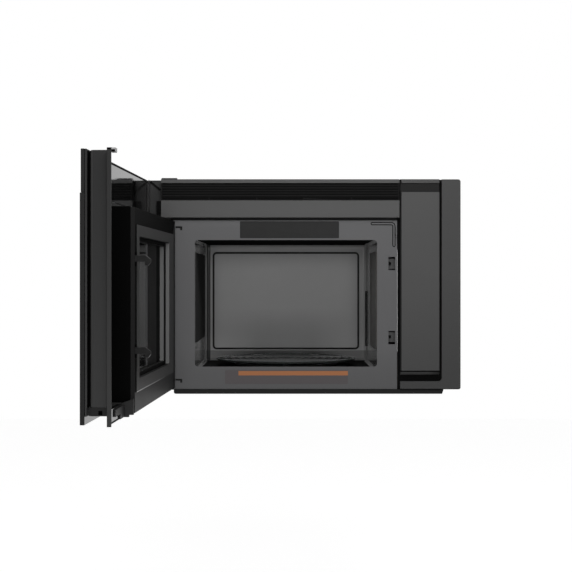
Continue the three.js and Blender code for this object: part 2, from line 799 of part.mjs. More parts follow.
function fanShroud() {
  const x = [linerRight + gap, innerRight - gap];
  const y = [shroudY, shroudY + shroudThick];
  const plate = block(x, y, [shroudBottom, shroudTop]);
  const collar = bar('y', fanRadius + fanTipGap + 3, [shroudY, shroudY + 14], [fanX, fanZ], 24);
  const hole = bar('y', fanRadius + fanTipGap, [shroudY - 1, shroudY + 15], [fanX, fanZ], 24);
  return cut(join(plate, collar), hole);
}

const fanBladeY = shroudY + 5;
const fanBladeBack = fanBladeY + fanDepth;
const fanMotorY = fanBladeBack + 3;

function fanMotor() {
  const half = fanMotorSize / 2;
  const body = block([fanX - half, fanX + half], [fanMotorY, fanMotorY + fanMotorDepth], [fanZ - half, fanZ + half]);
  const reach = fanRadius + fanTipGap + 6;
  const bridge = block([fanX - reach, fanX + reach], [fanMotorY, fanMotorY + strutThick],
    [fanZ - strutWidth / 2, fanZ + strutWidth / 2]);
  const legs = [-1, 1].map((side) => {
    const ends = [fanX + side * reach, fanX + side * (reach - strutThick)].sort((a, b) => a - b);
    return block(ends, [shroudY + shroudThick + gap, fanMotorY + strutThick],
      [fanZ - strutWidth / 2, fanZ + strutWidth / 2]);
  });
  const collarRoom = bar('y', fanRadius + fanTipGap + 3 + gap, [shroudY, shroudY + 14 + gap], [fanX, fanZ], 24);
  const bore = bar('y', fanShaft + gap, [fanMotorY - 1, fanMotorY + fanMotorDepth - 3], [fanX, fanZ]);
  return cut(join(body, bridge, ...legs), collarRoom, bore);
}

function fanBlade() {
  const hub = bar('y', fanHub, [fanBladeY, fanBladeBack], [fanX, fanZ]);
  const shaft = bar('y', fanShaft, [fanBladeBack - 1, fanMotorY + fanMotorDepth - 5], [fanX, fanZ]);
  const blades = [];
  for (let i = 0; i < fanBlades; i += 1) {
    const blade = new THREE.BoxGeometry(fanRadius - fanHub + 4, 1.6, 26);
    blade.rotateX(0.42).translate((fanRadius + fanHub - 4) / 2, 0, 0);
    blade.rotateY((i / fanBlades) * Math.PI * 2).translate(fanX, (fanBladeY + fanBladeBack) / 2, fanZ);
    blades.push(solid(blade));
  }
  const trimRing = bar('y', fanRadius, [fanBladeY, fanBladeBack], [fanX, fanZ], 32);
  return join(hub, shaft, join(...blades).intersect(trimRing));
}

// ---- power parts -----------------------------------------------------------------------------------

const transformerX = panRight - sheet - gap - 8 - transformerLength;

function transformer() {
  const x = [transformerX, transformerX + transformerLength];
  const y = [transformerFront, transformerFront + transformerDepth];
  const z = [sheet + gap, sheet + gap + transformerHeight];
  const core = block(x, [y[0] + windingProud, y[1] - windingProud], z);
  const winding = block([x[0] + 16, x[1] - 16], y, [z[0] + 14, z[1] - 14]);
  const foot = block([x[0] - 8, x[1] + 8], [y[0] + windingProud, y[1] - windingProud], [z[0], z[0] + 2]);
  return join(core, winding, foot);
}

function capacitor() {
  const x = transformerX + transformerLength / 2;
  const z = [sheet + gap, sheet + gap + capacitorHeight];
  const can = bar('z', capacitorRadius, z, [x, capacitorY], 20);
  const posts = [-8, 8].map((dx) => bar('z', 3, [z[1] - 1, z[1] + 9], [x + dx, capacitorY], 8));
  return join(can, ...posts);
}

// A circuit board that stands on four spacers off the case's right wall.
function sideBoard([y0, y1], [z0, z1], parts) {
  const x1 = innerRight - gap;
  const x0 = x1 - standoff;
  const board = block([x0 - boardThick, x0], [y0, y1], [z0, z1]);
  const inset = 8;
  const spacers = [y0 + inset, y1 - inset].flatMap((y) => [z0 + inset, z1 - inset].map((z) =>
    bar('x', 3, [x0 - 0.5, x1], [y, z], 8)));
  const bodies = parts.map(([y, z, depth, height, proud]) =>
    block([x0 - boardThick - proud, x0 - boardThick + 0.5], [y0 + y, y0 + y + depth], [z0 + z, z0 + z + height]));
  return join(board, ...spacers, ...bodies);
}

function powerBoard() {
  const parts = [[14, 12, 34, 30, 18], [60, 16, 16, 18, 14], [84, 16, 16, 18, 14], [110, 10, 18, 44, 9]];
  return sideBoard([powerBoardFront, powerBoardFront + powerBoardLength],
    [powerBoardBottom, powerBoardBottom + powerBoardHeight], parts);
}

function noiseFilterBoard() {
  const parts = [[12, 18, 28, 28, 20], [50, 14, 20, 12, 12], [50, 40, 20, 12, 12], [80, 20, 18, 30, 10]];
  return sideBoard([filterBoardFront, filterBoardFront + filterBoardLength],
    [filterBoardBottom, filterBoardBottom + filterBoardHeight], parts);
}

// ---- door switches ---------------------------------------------------------------------------------

const bracketX = [slotX - slotWidth / 2 - 10, plateRight + seamRight - 3];
const bracketZ = [slotLower - slotHeight / 2 - bracketOverhang, slotUpper + slotHeight / 2 + bracketOverhang];
const bracketFront = bulkheadY + sheet + gap;
const plungerFront = latchReach + hookToPlunger;
const latchX = [slotX - slotWidth / 2 + 1, slotX - slotWidth / 2 + 1 + latchWidth];

function interlockBracket() {
  const face = block([bracketX[0], plateRight], [plateBack + gap, plateBack + gap + bracketWall], bracketZ);
  const step = block([plateRight - 2, plateRight], [plateBack + gap, bracketFront + bracketWall], bracketZ);
  const corner = block([plateRight - 2, bracketX[1]], [bracketFront, bracketFront + bracketWall], bracketZ);
  const wall = block([bracketX[1] - bracketWall, bracketX[1]], [bracketFront, bracketDepth], bracketZ);
  const windows = slotHeights.map((z) => block([slotX - slotWidth / 2 - 1, slotX + slotWidth / 2 + 1],
    [0, bracketFront + bracketWall + 1], [z - slotHeight / 2 - 1, z + slotHeight / 2 + 1]));
  return cut(join(face, step, corner, wall), ...windows);
}

function doorSwitch(z) {
  const x1 = bracketX[1] - bracketWall - gap;
  const x0 = latchX[0] - 6;
  const middle = (latchX[0] + latchX[1]) / 2;
  const body = block([x0, x1], [switchBack - switchLength, switchBack], [z - switchHeight / 2, z + switchHeight / 2]);
  const pocket = block([middle - plungerWidth / 2 - gap, middle + plungerWidth / 2 + gap],
    [switchBack - switchLength - 1, plungerFront + plungerLength + plungerTravel + 1],
    [z - plungerHeight / 2 - gap, z + plungerHeight / 2 + gap]);
  return cut(body, pocket);
}

function plunger(z) {
  const middle = (latchX[0] + latchX[1]) / 2;
  return block([middle - plungerWidth / 2, middle + plungerWidth / 2], [plungerFront, plungerFront + plungerLength],
    [z - plungerHeight / 2, z + plungerHeight / 2]);
}

// ---- turntable -------------------------------------------------------------------------------------

const rollerZ = floorTop + gap + rollerRadius;
const trayBottom = rollerZ + rollerRadius + gap;
const ringZ = [rollerZ - ringHeight / 2, rollerZ + ringHeight / 2];

function turntableMotor() {
  const half = motorSize / 2;
  const top = linerFloor - gap;
  const body = block([spindleX - half, spindleX + half], [spindleY - half, spindleY + half], [top - motorHeight, top]);
  return cut(body, bar('z', shaftRadius + gap, [top - shaftLength, top + 1], [spindleX, spindleY]));
}

// Three-winged hub on the motor's shaft.
function driveCoupler() {
  const hub = bar('z', hubRadius * 0.6, [floorTop + 2, trayBottom - gap], [spindleX, spindleY], 18);
  const shaft = bar('z', shaftRadius, [linerFloor - shaftLength + 2, floorTop + 3], [spindleX, spindleY]);
  const wings = [0, 1, 2].map((i) => {
    const wing = new THREE.BoxGeometry(hubRadius, 6, 5).translate(hubRadius / 2, 0, trayBottom - gap - 2.5);
    return solid(wing.rotateZ((i * Math.PI * 2) / 3).translate(spindleX, spindleY, 0));
  });
  return join(hub, shaft, ...wings);
}

function glassTray() {
  const z = trayBottom;
  const r = trayRadius;
  const profile = [[0, 0], [r - 8, 0], [r - 1, trayThick - 2], [r, trayThick + trayRim - 1],
    [r - 1, trayThick + trayRim], [r - 5, trayThick + trayRim - 0.6], [r - 9, trayThick], [0, trayThick]];
  const points = profile.map(([x, y]) => new THREE.Vector2(x, y));
  const geometry = new THREE.LatheGeometry(points, 56);
  return solid(geometry.rotateX(Math.PI / 2).translate(spindleX, spindleY, z));
}

function rollerRing() {
  const ring = turned([[ringInner, 0], [ringOuter, 0], [ringOuter, ringHeight], [ringInner, ringHeight]],
    [spindleX, spindleY, ringZ[0]], 48);
  const axles = [];
  for (let i = 0; i < rollerCount; i += 1) {
    const length = rollerCircle + rollerWidth / 2 + 3 - ringOuter + 3;
    const axle = new THREE.CylinderGeometry(axleRadius, axleRadius, length, 12);
    axle.rotateZ(Math.PI / 2).translate(ringOuter - 3 + length / 2, 0, 0);
    axles.push(solid(axle.rotateZ(rollerAngle(i)).translate(spindleX, spindleY, rollerZ)));
  }
  return join(ring, ...axles);
}

const rollerAngle = (i) => ((i + 0.25) * Math.PI * 2) / rollerCount;

function roller(i) {
  const half = rollerWidth / 2;
  const bore = axleRadius + gap;
  const points = [[bore, -half], [rollerRadius, -half], [rollerRadius, half], [bore, half], [bore, -half]];
  const wheel = new THREE.LatheGeometry(points.map(([r, h]) => new THREE.Vector2(r, h)), 24);
  wheel.rotateZ(-Math.PI / 2).translate(rollerCircle, 0, 0);
  return solid(wheel.rotateZ(rollerAngle(i)).translate(spindleX, spindleY, rollerZ));
}

// ---- ventilation -----------------------------------------------------------------------------------

const blowerX = spindleX;
const scrollBottom = linerTop + gap;
const blowerZ = scrollBottom + scrollBase + scrollRise + wheelRadius + scrollGap;
const scrollTop = blowerZ + wheelRadius + scrollGap + 2;
const scrollSides = [-1, 1].map((side) => {
  const inner = blowerX + (side * (scrollSpacing / 2 - scrollLength / 2));
  const outer = inner + side * scrollLength;
  return [Math.min(inner, outer), Math.max(inner, outer)];
});

// Two blower scrolls on one base, open at both ends for the air that comes in and at the front for the outlet.
function blowerHousing() {
  const y = [scrollY - scrollDepth / 2, scrollY + scrollDepth / 2];
  const base = block([scrollSides[0][0], scrollSides[1][1]], y, [scrollBottom, scrollBottom + scrollBase]);
  const scrolls = scrollSides.map((x) => {
    const box = block(x, y, [scrollBottom, scrollTop]);
    const round = bar('x', wheelRadius + scrollGap, [x[0] - 1, x[1] + 1], [scrollY, blowerZ], 28);
    const outlet = block([x[0] + 2, x[1] - 2], [y[0] - 1, scrollY], [scrollTop - outletHeight - 3, scrollTop - 3]);
    return cut(box, round, outlet);
  });
  return join(base, ...scrolls);
}

function ventMotor() {
  const x = [blowerX - ventMotorLength / 2, blowerX + ventMotorLength / 2];
  const can = bar('x', ventMotorRadius, x, [scrollY, blowerZ], 20);
  const foot = block([x[0] + 10, x[1] - 10], [scrollY - 24, scrollY + 24],
    [scrollBottom + scrollBase + gap, blowerZ - ventMotorRadius + 6]);
  const bore = bar('x', ventShaft + gap, [x[0] - 1, x[1] + 1], [scrollY, blowerZ]);
  return cut(join(can, foot), bore);
}

function blowerWheels() {
  const ends = scrollSides.map(([x0, x1]) => [(x0 + x1 - wheelLength) / 2, (x0 + x1 + wheelLength) / 2]);
  const shaft = bar('x', ventShaft, [ends[0][0], ends[1][1]], [scrollY, blowerZ], 12);
  const wheels = ends.map(([x0, x1], index) => {
    const discX = index === 0 ? [x1 - wheelDisc, x1] : [x0, x0 + wheelDisc];
    const rimX = index === 0 ? [x0, x0 + wheelDisc] : [x1 - wheelDisc, x1];
    const disc = bar('x', wheelRadius, discX, [scrollY, blowerZ], 24);
    const hub = bar('x', wheelHub, [discX[0] - 4, discX[1] + 4], [scrollY, blowerZ], 12);
    const rim = cut(bar('x', wheelRadius, rimX, [scrollY, blowerZ], 24),
      bar('x', wheelRadius - bladeWidth, [rimX[0] - 1, rimX[1] + 1], [scrollY, blowerZ], 24));
    const blades = [];
    for (let i = 0; i < wheelBlades; i += 1) {
      const blade = new THREE.BoxGeometry(wheelLength - 2, bladeThick, bladeWidth);
      blade.rotateX(0.4).translate((x0 + x1) / 2, 0, wheelRadius - bladeWidth / 2 - 1);
      blades.push(solid(blade.rotateX((i / wheelBlades) * Math.PI * 2).translate(0, scrollY, blowerZ)));
    }
    return join(disc, hub, rim, ...blades);
  });
  return join(shaft, ...wheels);
}

function charcoalFilter() {
  const y0 = -faceProud + grilleDepth + gap;
  const z0 = (grilleBottom + caseHeight - lipHeight - charcoalHeight) / 2;
  return block([spindleX - charcoalLength / 2, spindleX + charcoalLength / 2], [y0, y0 + charcoalDepth],
    [z0, z0 + charcoalHeight]);
}

// Framed mesh filter that lies on the lips of its opening in the base pan.
function greaseFilter([x0, x1]) {
  const z = [sheet + gap, sheet + gap + greaseThick];
  const frame = block([x0, x1], greaseY, z);
  const rim = 9;
  const sunk = 1.5;
  const field = (z0, z1) => block([x0 + rim, x1 - rim], [greaseY[0] + rim, greaseY[1] - rim], [z0, z1]);
  const pull = block([(x0 + x1) / 2 - 12, (x0 + x1) / 2 + 12], [greaseY[0] + rim, greaseY[0] + rim + 5],
    [z[0], z[0] + sunk + 1]);
  return join(cut(frame, field(z[0] - 1, z[0] + sunk), field(z[1] - sunk, z[1] + 1)), pull);
}

function lampCover() {
  const hingeR = lampCoverThick / 2 + 0.2;
  const z0 = 0.1;
  const lens = block(lampRange, [lampY[0], lampY[1] - hingeR], [z0, z0 + lampCoverThick]);
  const barrel = bar('x', hingeR, lampRange, [lampY[1] - hingeR, z0 + hingeR], 12);
  return join(lens, barrel);
}

function lampHousing() {
  const z0 = lampCoverThick + 1;
  const body = block([lampRange[0] - lampEar, lampRange[1] + lampEar], [lampY[0] + 4, lampY[1] - 6],
    [z0, z0 + lampHousingHeight]);
  const ears = [[lampRange[0] - lampEar, lampRange[0] - 2], [lampRange[1] + 2, lampRange[1] + lampEar]];
  const feet = ears.map((x) => block(x, [lampY[0] + 4, lampY[1] - 6], [sheet + gap, z0 + 1]));
  const chips = [-30, 0, 30].map((dx) => block([lampX + dx - 6, lampX + dx + 6],
    [lampY[0] + 12, lampY[0] + 22], [z0 - 0.5, z0 + 1]));
  return join(body, ...feet, ...chips);
}

// ---- hinges ----------------------------------------------------------------------------------------

// Bracket with a flat ear that carries the pin. The upper one hangs its pin down, the lower one stands it up.
function hingeBracket(upper) {
  const ear = upper ? [plateTop + gap, plateTop + gap + earThick] : [bodyBottom - earThick - 3, bodyBottom - 3];
  const plateY = [plateBack + gap, plateBack + gap + sheet + 1];
  const x = [hingeX - earReach, plateLeft + 18];
  const lobe = join(block([x[0], hingeX + earReach], [hingeY, plateY[1]], ear),
    bar('z', earReach, ear, [hingeX, hingeY], 20));
  const arm = block([plateLeft - 8, x[1]], plateY, upper ? [ear[1] - 40, ear[1]] : [ear[0], ear[0] + 40]);
  const pin = bar('z', pinRadius, upper ? [ear[0] - pinLength, ear[0] + 1] : [ear[1] - 1, ear[1] + pinLength],
    [hingeX, hingeY], 20);
  const notchSide = block([left, hingeX - earReach - 1], [-40, 60], [0, caseHeight]);
  return cut(join(lobe, arm, pin), notchSide);
}

// ---- door ------------------------------------------------------------------------------------------

const doorFront = -doorDepth - glassThick;
const doorBack = -doorDepth;

// Outline in plan of the front glass with its outer edges rounded.
function glassPlan(front) {
  const shape = new THREE.Shape();
  shape.moveTo(glassLeft, doorBack);
  shape.lineTo(glassLeft, front + glassEdge);
  shape.absarc(glassLeft + glassEdge, front + glassEdge, glassEdge, Math.PI, Math.PI * 1.5);
  shape.lineTo(glassRight - glassEdge, front);
  shape.absarc(glassRight - glassEdge, front + glassEdge, glassEdge, -Math.PI / 2, 0);
  shape.lineTo(glassRight, doorBack);
  return shape;
}

const glassSplit = glassTop - upperGlassHeight;
const lowerGlass = () => flat(glassPlan(doorFront), [glassBottom, glassSplit - gap]);
const upperGlass = () => flat(glassPlan(doorFront + upperGlassSink), [glassSplit, glassTop]);

const windowX = [windowLeft, windowRight];
const windowZ = [windowBottom, windowTop];
const paneX = [windowLeft + ledgeSide, windowRight - ledgeSide];
const paneZ = [windowBottom + ledgeEnds, windowTop - ledgeEnds];
const fieldFace = -chokeClear + fieldRise;
const ledgeY = fieldFace - ledgeDeep;
const paneY = fieldFace - paneDeep;
const bodyBack = -chokeClear - chokeDepth - gap;

// Black pan of the door: a shell with a tunnel for the window, sockets for the pins and a rest for the latch.
function doorBody() {
  const y = [doorBack + gap, bodyBack];
  const w = bodyWall;
  const outer = block([bodyLeft, bodyRight], y, [bodyBottom, bodyTop]);
  const tunnel = block([windowX[0] + w, windowX[1] - w], [y[0] - 1, y[1] + 1], [windowZ[0] + w, windowZ[1] - w]);
  const pocket = cut(
    block([bodyLeft + w, bodyRight - w], [y[0] + w, y[1] + 1], [bodyBottom + w, bodyTop - w]),
    block(windowX, [y[0] - 1, y[1] + 2], windowZ));
  const socketX = [bodyLeft + 1, hingeX + earReach];
  const socketY = [hingeY - earReach, hingeY + earReach];
  const socketHeight = pinLength + 2;
  const sockets = [[bodyBottom + 1, bodyBottom + socketHeight], [bodyTop - socketHeight, bodyTop - 1]];
  const bores = [[bodyBottom - 1, bodyBottom + socketHeight + 1], [bodyTop - socketHeight - 1, bodyTop + 1]];
  const rest = block([windowRight - 1, bodyRight - 1], [y[0] + 20, y[1] - 2],
    [latchBottom - 6, latchBottom - gap]);
  const shell = join(cut(outer, tunnel, pocket), ...sockets.map((z) => block(socketX, socketY, z)), rest);
  return cut(shell, ...bores.map((z) => bar('z', pinRadius + gap, z, [hingeX, hingeY], 20)));
}

// Pressed choke frame on the oven side: a raised field with a stepped recess down to the window, and slots
// for the hooks.
function chokeFrame() {
  const y = [-chokeClear - chokeDepth, -chokeClear];
  const s = chokeSheet;
  const plate = block([chokeLeft, bodyRight], y, [bodyBottom, chokeTop]);
  const field = block([fieldLeft, fieldRight], [y[1] - s, fieldFace], [fieldBottom, fieldTop]);
  const pocket = cut(
    block([chokeLeft + s, bodyRight - s], [y[0] - 1, y[1] - s], [bodyBottom + s, chokeTop - s]),
    block([windowX[0] - s, windowX[1] + s], [y[0] - 2, y[1]], [windowZ[0] - s, windowZ[1] + s]));
  const recess = upright(rounded(windowX, windowZ, windowCorner), [y[0] - 3, y[1] + 3]);
  const ledge = block([windowX[0] - 1, windowX[1] + 1], [y[0], ledgeY], [windowZ[0] - 1, windowZ[1] + 1]);
  const well = block([paneX[0] - s, paneX[1] + s], [paneY - windowGlass - screenThick - 2 * gap, ledgeY],
    [paneZ[0] - s, paneZ[1] + s]);
  const window = upright(rounded(paneX, paneZ, windowCorner), [paneY - 10, y[1] + 3]);
  const slots = latchSpans().map(([z0, z1]) => block([latchX[0] - 1, latchX[1] + 1], [y[0] - 1, y[1] + 3],
    [z0 - 1, z1 + latchLift + 1]));
  const tray = join(cut(join(cut(plate, pocket), field), recess), ledge, well);
  return cut(tray, window, ...slots);
}

function windowPane(yBack, thick) {
  const inset = gap;
  return upright(rounded([paneX[0] + inset, paneX[1] - inset], [paneZ[0] + inset, paneZ[1] - inset],
    windowCorner - inset), [yBack - thick, yBack]);
}

// Plan of the free end's channel: a strip behind the glass, a deep groove, the web and the flange.
function endChannel() {
  const stripBack = doorBack + gap + channelStrip;
  const grooveBack = stripBack + channelGroove;
  const grooveX = webX - channelGrooveDepth + webChamfer;
  const flangeBack = -flangeFace;
  const flangeFront = flangeBack - flangeThick;
  const w = webWall;
  const plan = outline([
    [channelInner, doorBack + gap], [glassRight - 2, doorBack + gap], [glassRight - 2, stripBack],
    [grooveX, stripBack], [grooveX, grooveBack], [webX - webChamfer, grooveBack],
    [webX, grooveBack + webChamfer], [webX, flangeFront], [flangeRight2, flangeFront],
    [flangeRight2, flangeBack], [flangeRight2 - flangeWidth, flangeBack],
    [flangeRight2 - flangeWidth, flangeBack - w], [webX - w, flangeBack - w],
    [webX - w, grooveBack + w], [grooveX - w, grooveBack + w], [grooveX - w, stripBack],
    [channelInner, stripBack - 1],
  ]);
  const middle = flat(plan, [webSeam, webTop]);
  const strip = block([channelInner, glassRight - 2], [doorBack + gap, stripBack - 1], [stripLow, glassTop]);
  const flange = block([flangeRight2 - flangeWidth, flangeRight2], [flangeFront, flangeBack],
    [flangeLow, caseHeight]);
  const hook = block([flangeRight2 - 15, flangeRight2], [flangeBack - 1, flangeBack + hookReturn],
    [caseHeight - hookReturnHeight, caseHeight]);
  return join(middle, strip, flange, hook);
}

// Plug that closes the channel's lower end, with a square socket.
function endCap() {
  const y = [doorBack + 2 * gap + channelStrip + channelGroove, -flangeFace - flangeThick - gap];
  const z = [webSeam - gap - capHeight, webSeam - gap];
  const plug = block([webX - 16, webX], y, z);
  const holeY = (y[0] + y[1]) / 2 + 2;
  const holeZ = z[0] + 5;
  const socket = block([webX - 8, webX + 1], [holeY - capHole / 2, holeY + capHole / 2],
    [holeZ - capHole / 2, holeZ + capHole / 2]);
  const bridge = block([webX - 16, webX - 3], [doorBack + 2 * gap + channelStrip, y[0] + 1], z);
  return cut(join(plug, bridge), socket);
}

const blockX = [bodyRight + gap, bodyRight + gap + blockWidth];

function bottomRail() {
  return block([blockX[1] + gap, flangeRight2 - flangeWidth - gap], [-flangeFace - flangeThick, -flangeFace],
    [railBottom, railBottom + railHeight]);
}

// Block at the lower corner of the door body, which carries the rail: a wedge beside the choke frame and
// a stepped arm on the rail's face.
function sideBlock() {
  const y = [-flangeFace - flangeThick - 12, -flangeFace];
  const tall = block(blockX, [y[0], y[1] - 2], [railBottom, railBottom + blockHeight]);
  const shoulder = block(blockX, y, [railBottom, railBottom + blockHeight - blockStep]);
  const side = outline([[y[0] + 1, railBottom], [y[0] + 1, railBottom + blockHeight],
    [y[1] - 2, railBottom + blockHeight], [-wedgeBack, wedgeTop], [-wedgeBack, wedgeLow],
    [-wedgeStep, wedgeLow], [-wedgeStep, railBottom]]);
  const wedge = sideways(side, [blockX[0], blockX[0] + wedgeWidth]);
  const arm = outline([[blockX[0] + 2, railBottom + 0.5], [armStep, railBottom + 0.5], [armStep, armLow],
    [armRight, armLow], [armRight, armTop], [blockX[0] + 2, armTop]]);
  return join(tall, shoulder, wedge, upright(arm, [y[1] + gap, y[1] + gap + armThick]));
}

// Latch: an upright bar inside the door with two barbed hooks.
const latchSpans = () => slotHeights.map((z) => [z - latchHeight / 2 - 1.5, z + latchHeight / 2 - 1.5]);
const latchBottom = slotLower - latchHeight / 2 - 1.5 - latchTail;
const latchTop = slotUpper + latchHeight / 2 + latchTail;

function doorLatch() {
  const barBack = -chokeClear - chokeDepth - 3;
  const barX = [latchX[1] - latchBarWidth, latchX[1]];
  const spine = block(barX, [barBack - latchBarDepth, barBack], [latchBottom, latchTop]);
  const hooks = latchSpans().map(([z0, z1]) => {
    const tip = latchReach;
    const side = outline([
      [barBack - 1, z1], [tip - 8, z1], [tip, z1 - 6], [tip, z1 - 11], [tip - 4, z0], [tip - 9, z0],
      [tip - 9, z0 + latchBarb], [barBack - 1, z0 + latchBarb],
    ]);
    return sideways(side, latchX);
  });
  return join(spine, ...hooks);
}

function touchBoard() {
  const y0 = doorBack + gap;
  const board = block([touchLeft, touchLeft + touchWidth], [y0, y0 + boardThick], [touchBottom, touchBottom + touchHeight]);
  const spots = [[8, 30, 30, 60], [10, 110, 14, 14], [28, 110, 14, 14], [10, 150, 28, 40], [12, 215, 24, 20]];
  const bodies = spots.map(([x, z, width, height]) => block([touchLeft + x, touchLeft + x + width],
    [y0 + 1, y0 + boardThick + 5], [touchBottom + z, touchBottom + z + height]));
  return join(board, ...bodies);
}

// ---- assembly --------------------------------------------------------------------------------------

const slate = () => paint(0x4c4d50, 0.42, 0.6);
const black = () => paint(0x0c0c0d, 0.35, 0.1);
const steel = () => paint(0x8f9296, 0.4, 0.8);
const plastic = (color) => paint(color, 0.55, 0);

piece(microwave, 'wrap_cover', wrapCover(), slate());
piece(microwave, 'rear_panel', rearPanel(), steel());
piece(microwave, 'base_pan', basePan(), black());
piece(microwave, 'front_plate', frontPlate(), paint(0x5c5e62, 0.45, 0.3));
piece(microwave, 'corner_bulkhead', cornerBulkhead(), slate());
piece(microwave, 'right_bulkhead', rightBulkhead(), black());
piece(microwave, 'corner_block', cornerBlock(), plastic(0x0b0b0c));
piece(microwave, 'top_grille', topGrille(), black());
piece(microwave, 'grille_trim', grilleTrim(), slate());
piece(microwave, 'right_inset_panel', rightInsetPanel(), slate());
piece(microwave, 'right_frame', rightFrame(), slate());
piece(microwave, 'bottom_trim', bottomTrim(), black());
piece(microwave, 'wall_plate', wallPlate(), steel());
piece(microwave, 'cord_gland', cordGland(), plastic(0x111111));
piece(microwave, 'cavity_liner', cavityLiner(), paint(0x2f3034, 0.2, 0.1));
piece(microwave, 'waveguide_cover', waveguideCover(), plastic(0x77746c));
piece(microwave, 'wall_cover', wallCover(), plastic(0x161617));
piece(microwave, 'waveguide', waveguide(), steel());
piece(microwave, 'magnetron', magnetron(), steel());
piece(microwave, 'fan_shroud', fanShroud(), plastic(0xb9bbbd));
piece(microwave, 'fan_motor', fanMotor(), paint(0x55524c, 0.6, 0.5));
piece(microwave, 'fan_blade', fanBlade(), plastic(0xd8d9da));
piece(microwave, 'transformer', transformer(), paint(0x5a4030, 0.6, 0.3));
piece(microwave, 'capacitor', capacitor(), paint(0xa8abae, 0.4, 0.8));
piece(microwave, 'power_board', powerBoard(), plastic(0x1f5d3a));
piece(microwave, 'noise_filter_board', noiseFilterBoard(), plastic(0x7a5a2e));
piece(microwave, 'interlock_bracket', interlockBracket(), plastic(0x5f6163));
piece(microwave, 'door_switch_lower', doorSwitch(slotLower), plastic(0x151515));
piece(microwave, 'door_switch_upper', doorSwitch(slotUpper), plastic(0x151515));
piece(microwave, 'switch_plunger_lower', plunger(slotLower), plastic(0xb02020));
piece(microwave, 'switch_plunger_upper', plunger(slotUpper), plastic(0xb02020));
piece(microwave, 'turntable_motor', turntableMotor(), steel());
piece(microwave, 'drive_coupler', driveCoupler(), plastic(0xd8d4c8));
piece(microwave, 'glass_tray', glassTray(), paint(0x9aa5a5, 0.08, 0));
piece(microwave, 'roller_ring', rollerRing(), plastic(0xc9c6bd));
for (let i = 0; i < rollerCount; i += 1) {
  piece(microwave, `roller_${i + 1}`, roller(i), plastic(0xe2dfd6));
}
piece(microwave, 'blower_housing', blowerHousing(), steel());
piece(microwave, 'vent_motor', ventMotor(), paint(0x3b3b3d, 0.5, 0.5));
piece(microwave, 'blower_wheels', blowerWheels(), plastic(0x26272a));
piece(microwave, 'charcoal_filter', charcoalFilter(), plastic(0x17181a));
piece(microwave, 'grease_filter_left', greaseFilter(greaseX[0]), paint(0xb5b8ba, 0.35, 0.9));
piece(microwave, 'grease_filter_right', greaseFilter(greaseX[1]), paint(0xb5b8ba, 0.35, 0.9));
piece(microwave, 'lamp_cover', lampCover(), paint(0xdfe3e6, 0.3, 0));
piece(microwave, 'lamp_housing', lampHousing(), plastic(0xc8cacc));
piece(microwave, 'upper_hinge_bracket', hingeBracket(true), paint(0x17171a, 0.5, 0.5));
piece(microwave, 'lower_hinge_bracket', hingeBracket(false), paint(0x17171a, 0.5, 0.5));

const swing = new THREE.Group();
swing.position.set(hingeX, hingeY, 0);
swing.rotation.z = THREE.MathUtils.degToRad(-doorOpen);
microwave.add(swing);
const door = new THREE.Group();
door.position.set(-hingeX, -hingeY, 0);
swing.add(door);

piece(door, 'door_front_glass', lowerGlass(), paint(0x070708, 0.08, 0));
piece(door, 'door_vent_glass', upperGlass(), paint(0x070708, 0.08, 0));
piece(door, 'door_body', doorBody(), paint(0x0c0c0d, 0.4, 0.1));
piece(door, 'choke_frame', chokeFrame(), paint(0x3a3b3e, 0.4, 0.4));
piece(door, 'window_glass', windowPane(paneY, windowGlass), paint(0x0d0e10, 0.05, 0));
piece(door, 'window_screen', windowPane(paneY - windowGlass - gap, screenThick), black());
piece(door, 'door_end_channel', endChannel(), slate());
piece(door, 'door_end_cap', endCap(), plastic(0x2a2b2d));
piece(door, 'door_bottom_rail', bottomRail(), black());
piece(door, 'door_side_block', sideBlock(), plastic(0x232426));
piece(door, 'door_latch', doorLatch(), plastic(0x101011));
piece(door, 'touch_board', touchBoard(), plastic(0x1f5d3a));

export default microwave;
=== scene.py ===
# Over-the-range microwave with its door swung open. Every place is in metres, in the frame of the solids:
# +X to the user's right, +Y towards the wall, +Z up, origin at the centre of the wall plate's back face.
import json
from math import pi, radians

import bmesh
import bpy
from mathutils import Matrix, Vector


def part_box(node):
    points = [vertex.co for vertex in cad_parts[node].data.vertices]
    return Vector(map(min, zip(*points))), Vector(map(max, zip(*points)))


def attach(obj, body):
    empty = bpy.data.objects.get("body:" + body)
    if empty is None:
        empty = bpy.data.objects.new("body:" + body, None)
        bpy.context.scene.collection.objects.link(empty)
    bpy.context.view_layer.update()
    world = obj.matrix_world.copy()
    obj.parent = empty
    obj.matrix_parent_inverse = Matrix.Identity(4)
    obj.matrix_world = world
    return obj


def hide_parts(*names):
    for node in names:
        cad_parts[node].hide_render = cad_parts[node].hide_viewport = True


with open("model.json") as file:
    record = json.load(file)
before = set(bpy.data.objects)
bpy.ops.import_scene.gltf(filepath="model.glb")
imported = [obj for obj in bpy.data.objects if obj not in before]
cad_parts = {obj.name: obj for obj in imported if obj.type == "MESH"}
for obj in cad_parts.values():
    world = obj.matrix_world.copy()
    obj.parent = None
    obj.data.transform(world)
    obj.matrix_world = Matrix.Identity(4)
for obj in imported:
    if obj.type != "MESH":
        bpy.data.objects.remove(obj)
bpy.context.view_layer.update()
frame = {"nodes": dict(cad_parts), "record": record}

# ---- Studio ----------------------------------------------------------------------------------------
# The camera stands 2.3 m in front of the case, a little left of its middle, and looks straight at the wall.
# A pale floor lies well below the hung case, and soft boxes light it from the front and the top.

FACE_Y = -0.3223  # the front plate's face
UNDER_Z = -0.07  # the underside of the case

PICTURE = 572  # the picture's width and height in pixels
FOCAL = 1196.4  # the distance from the eye to the picture, in the same pixels
LIFT = 5.6  # how far the picture's middle lies below the line of sight, in pixels

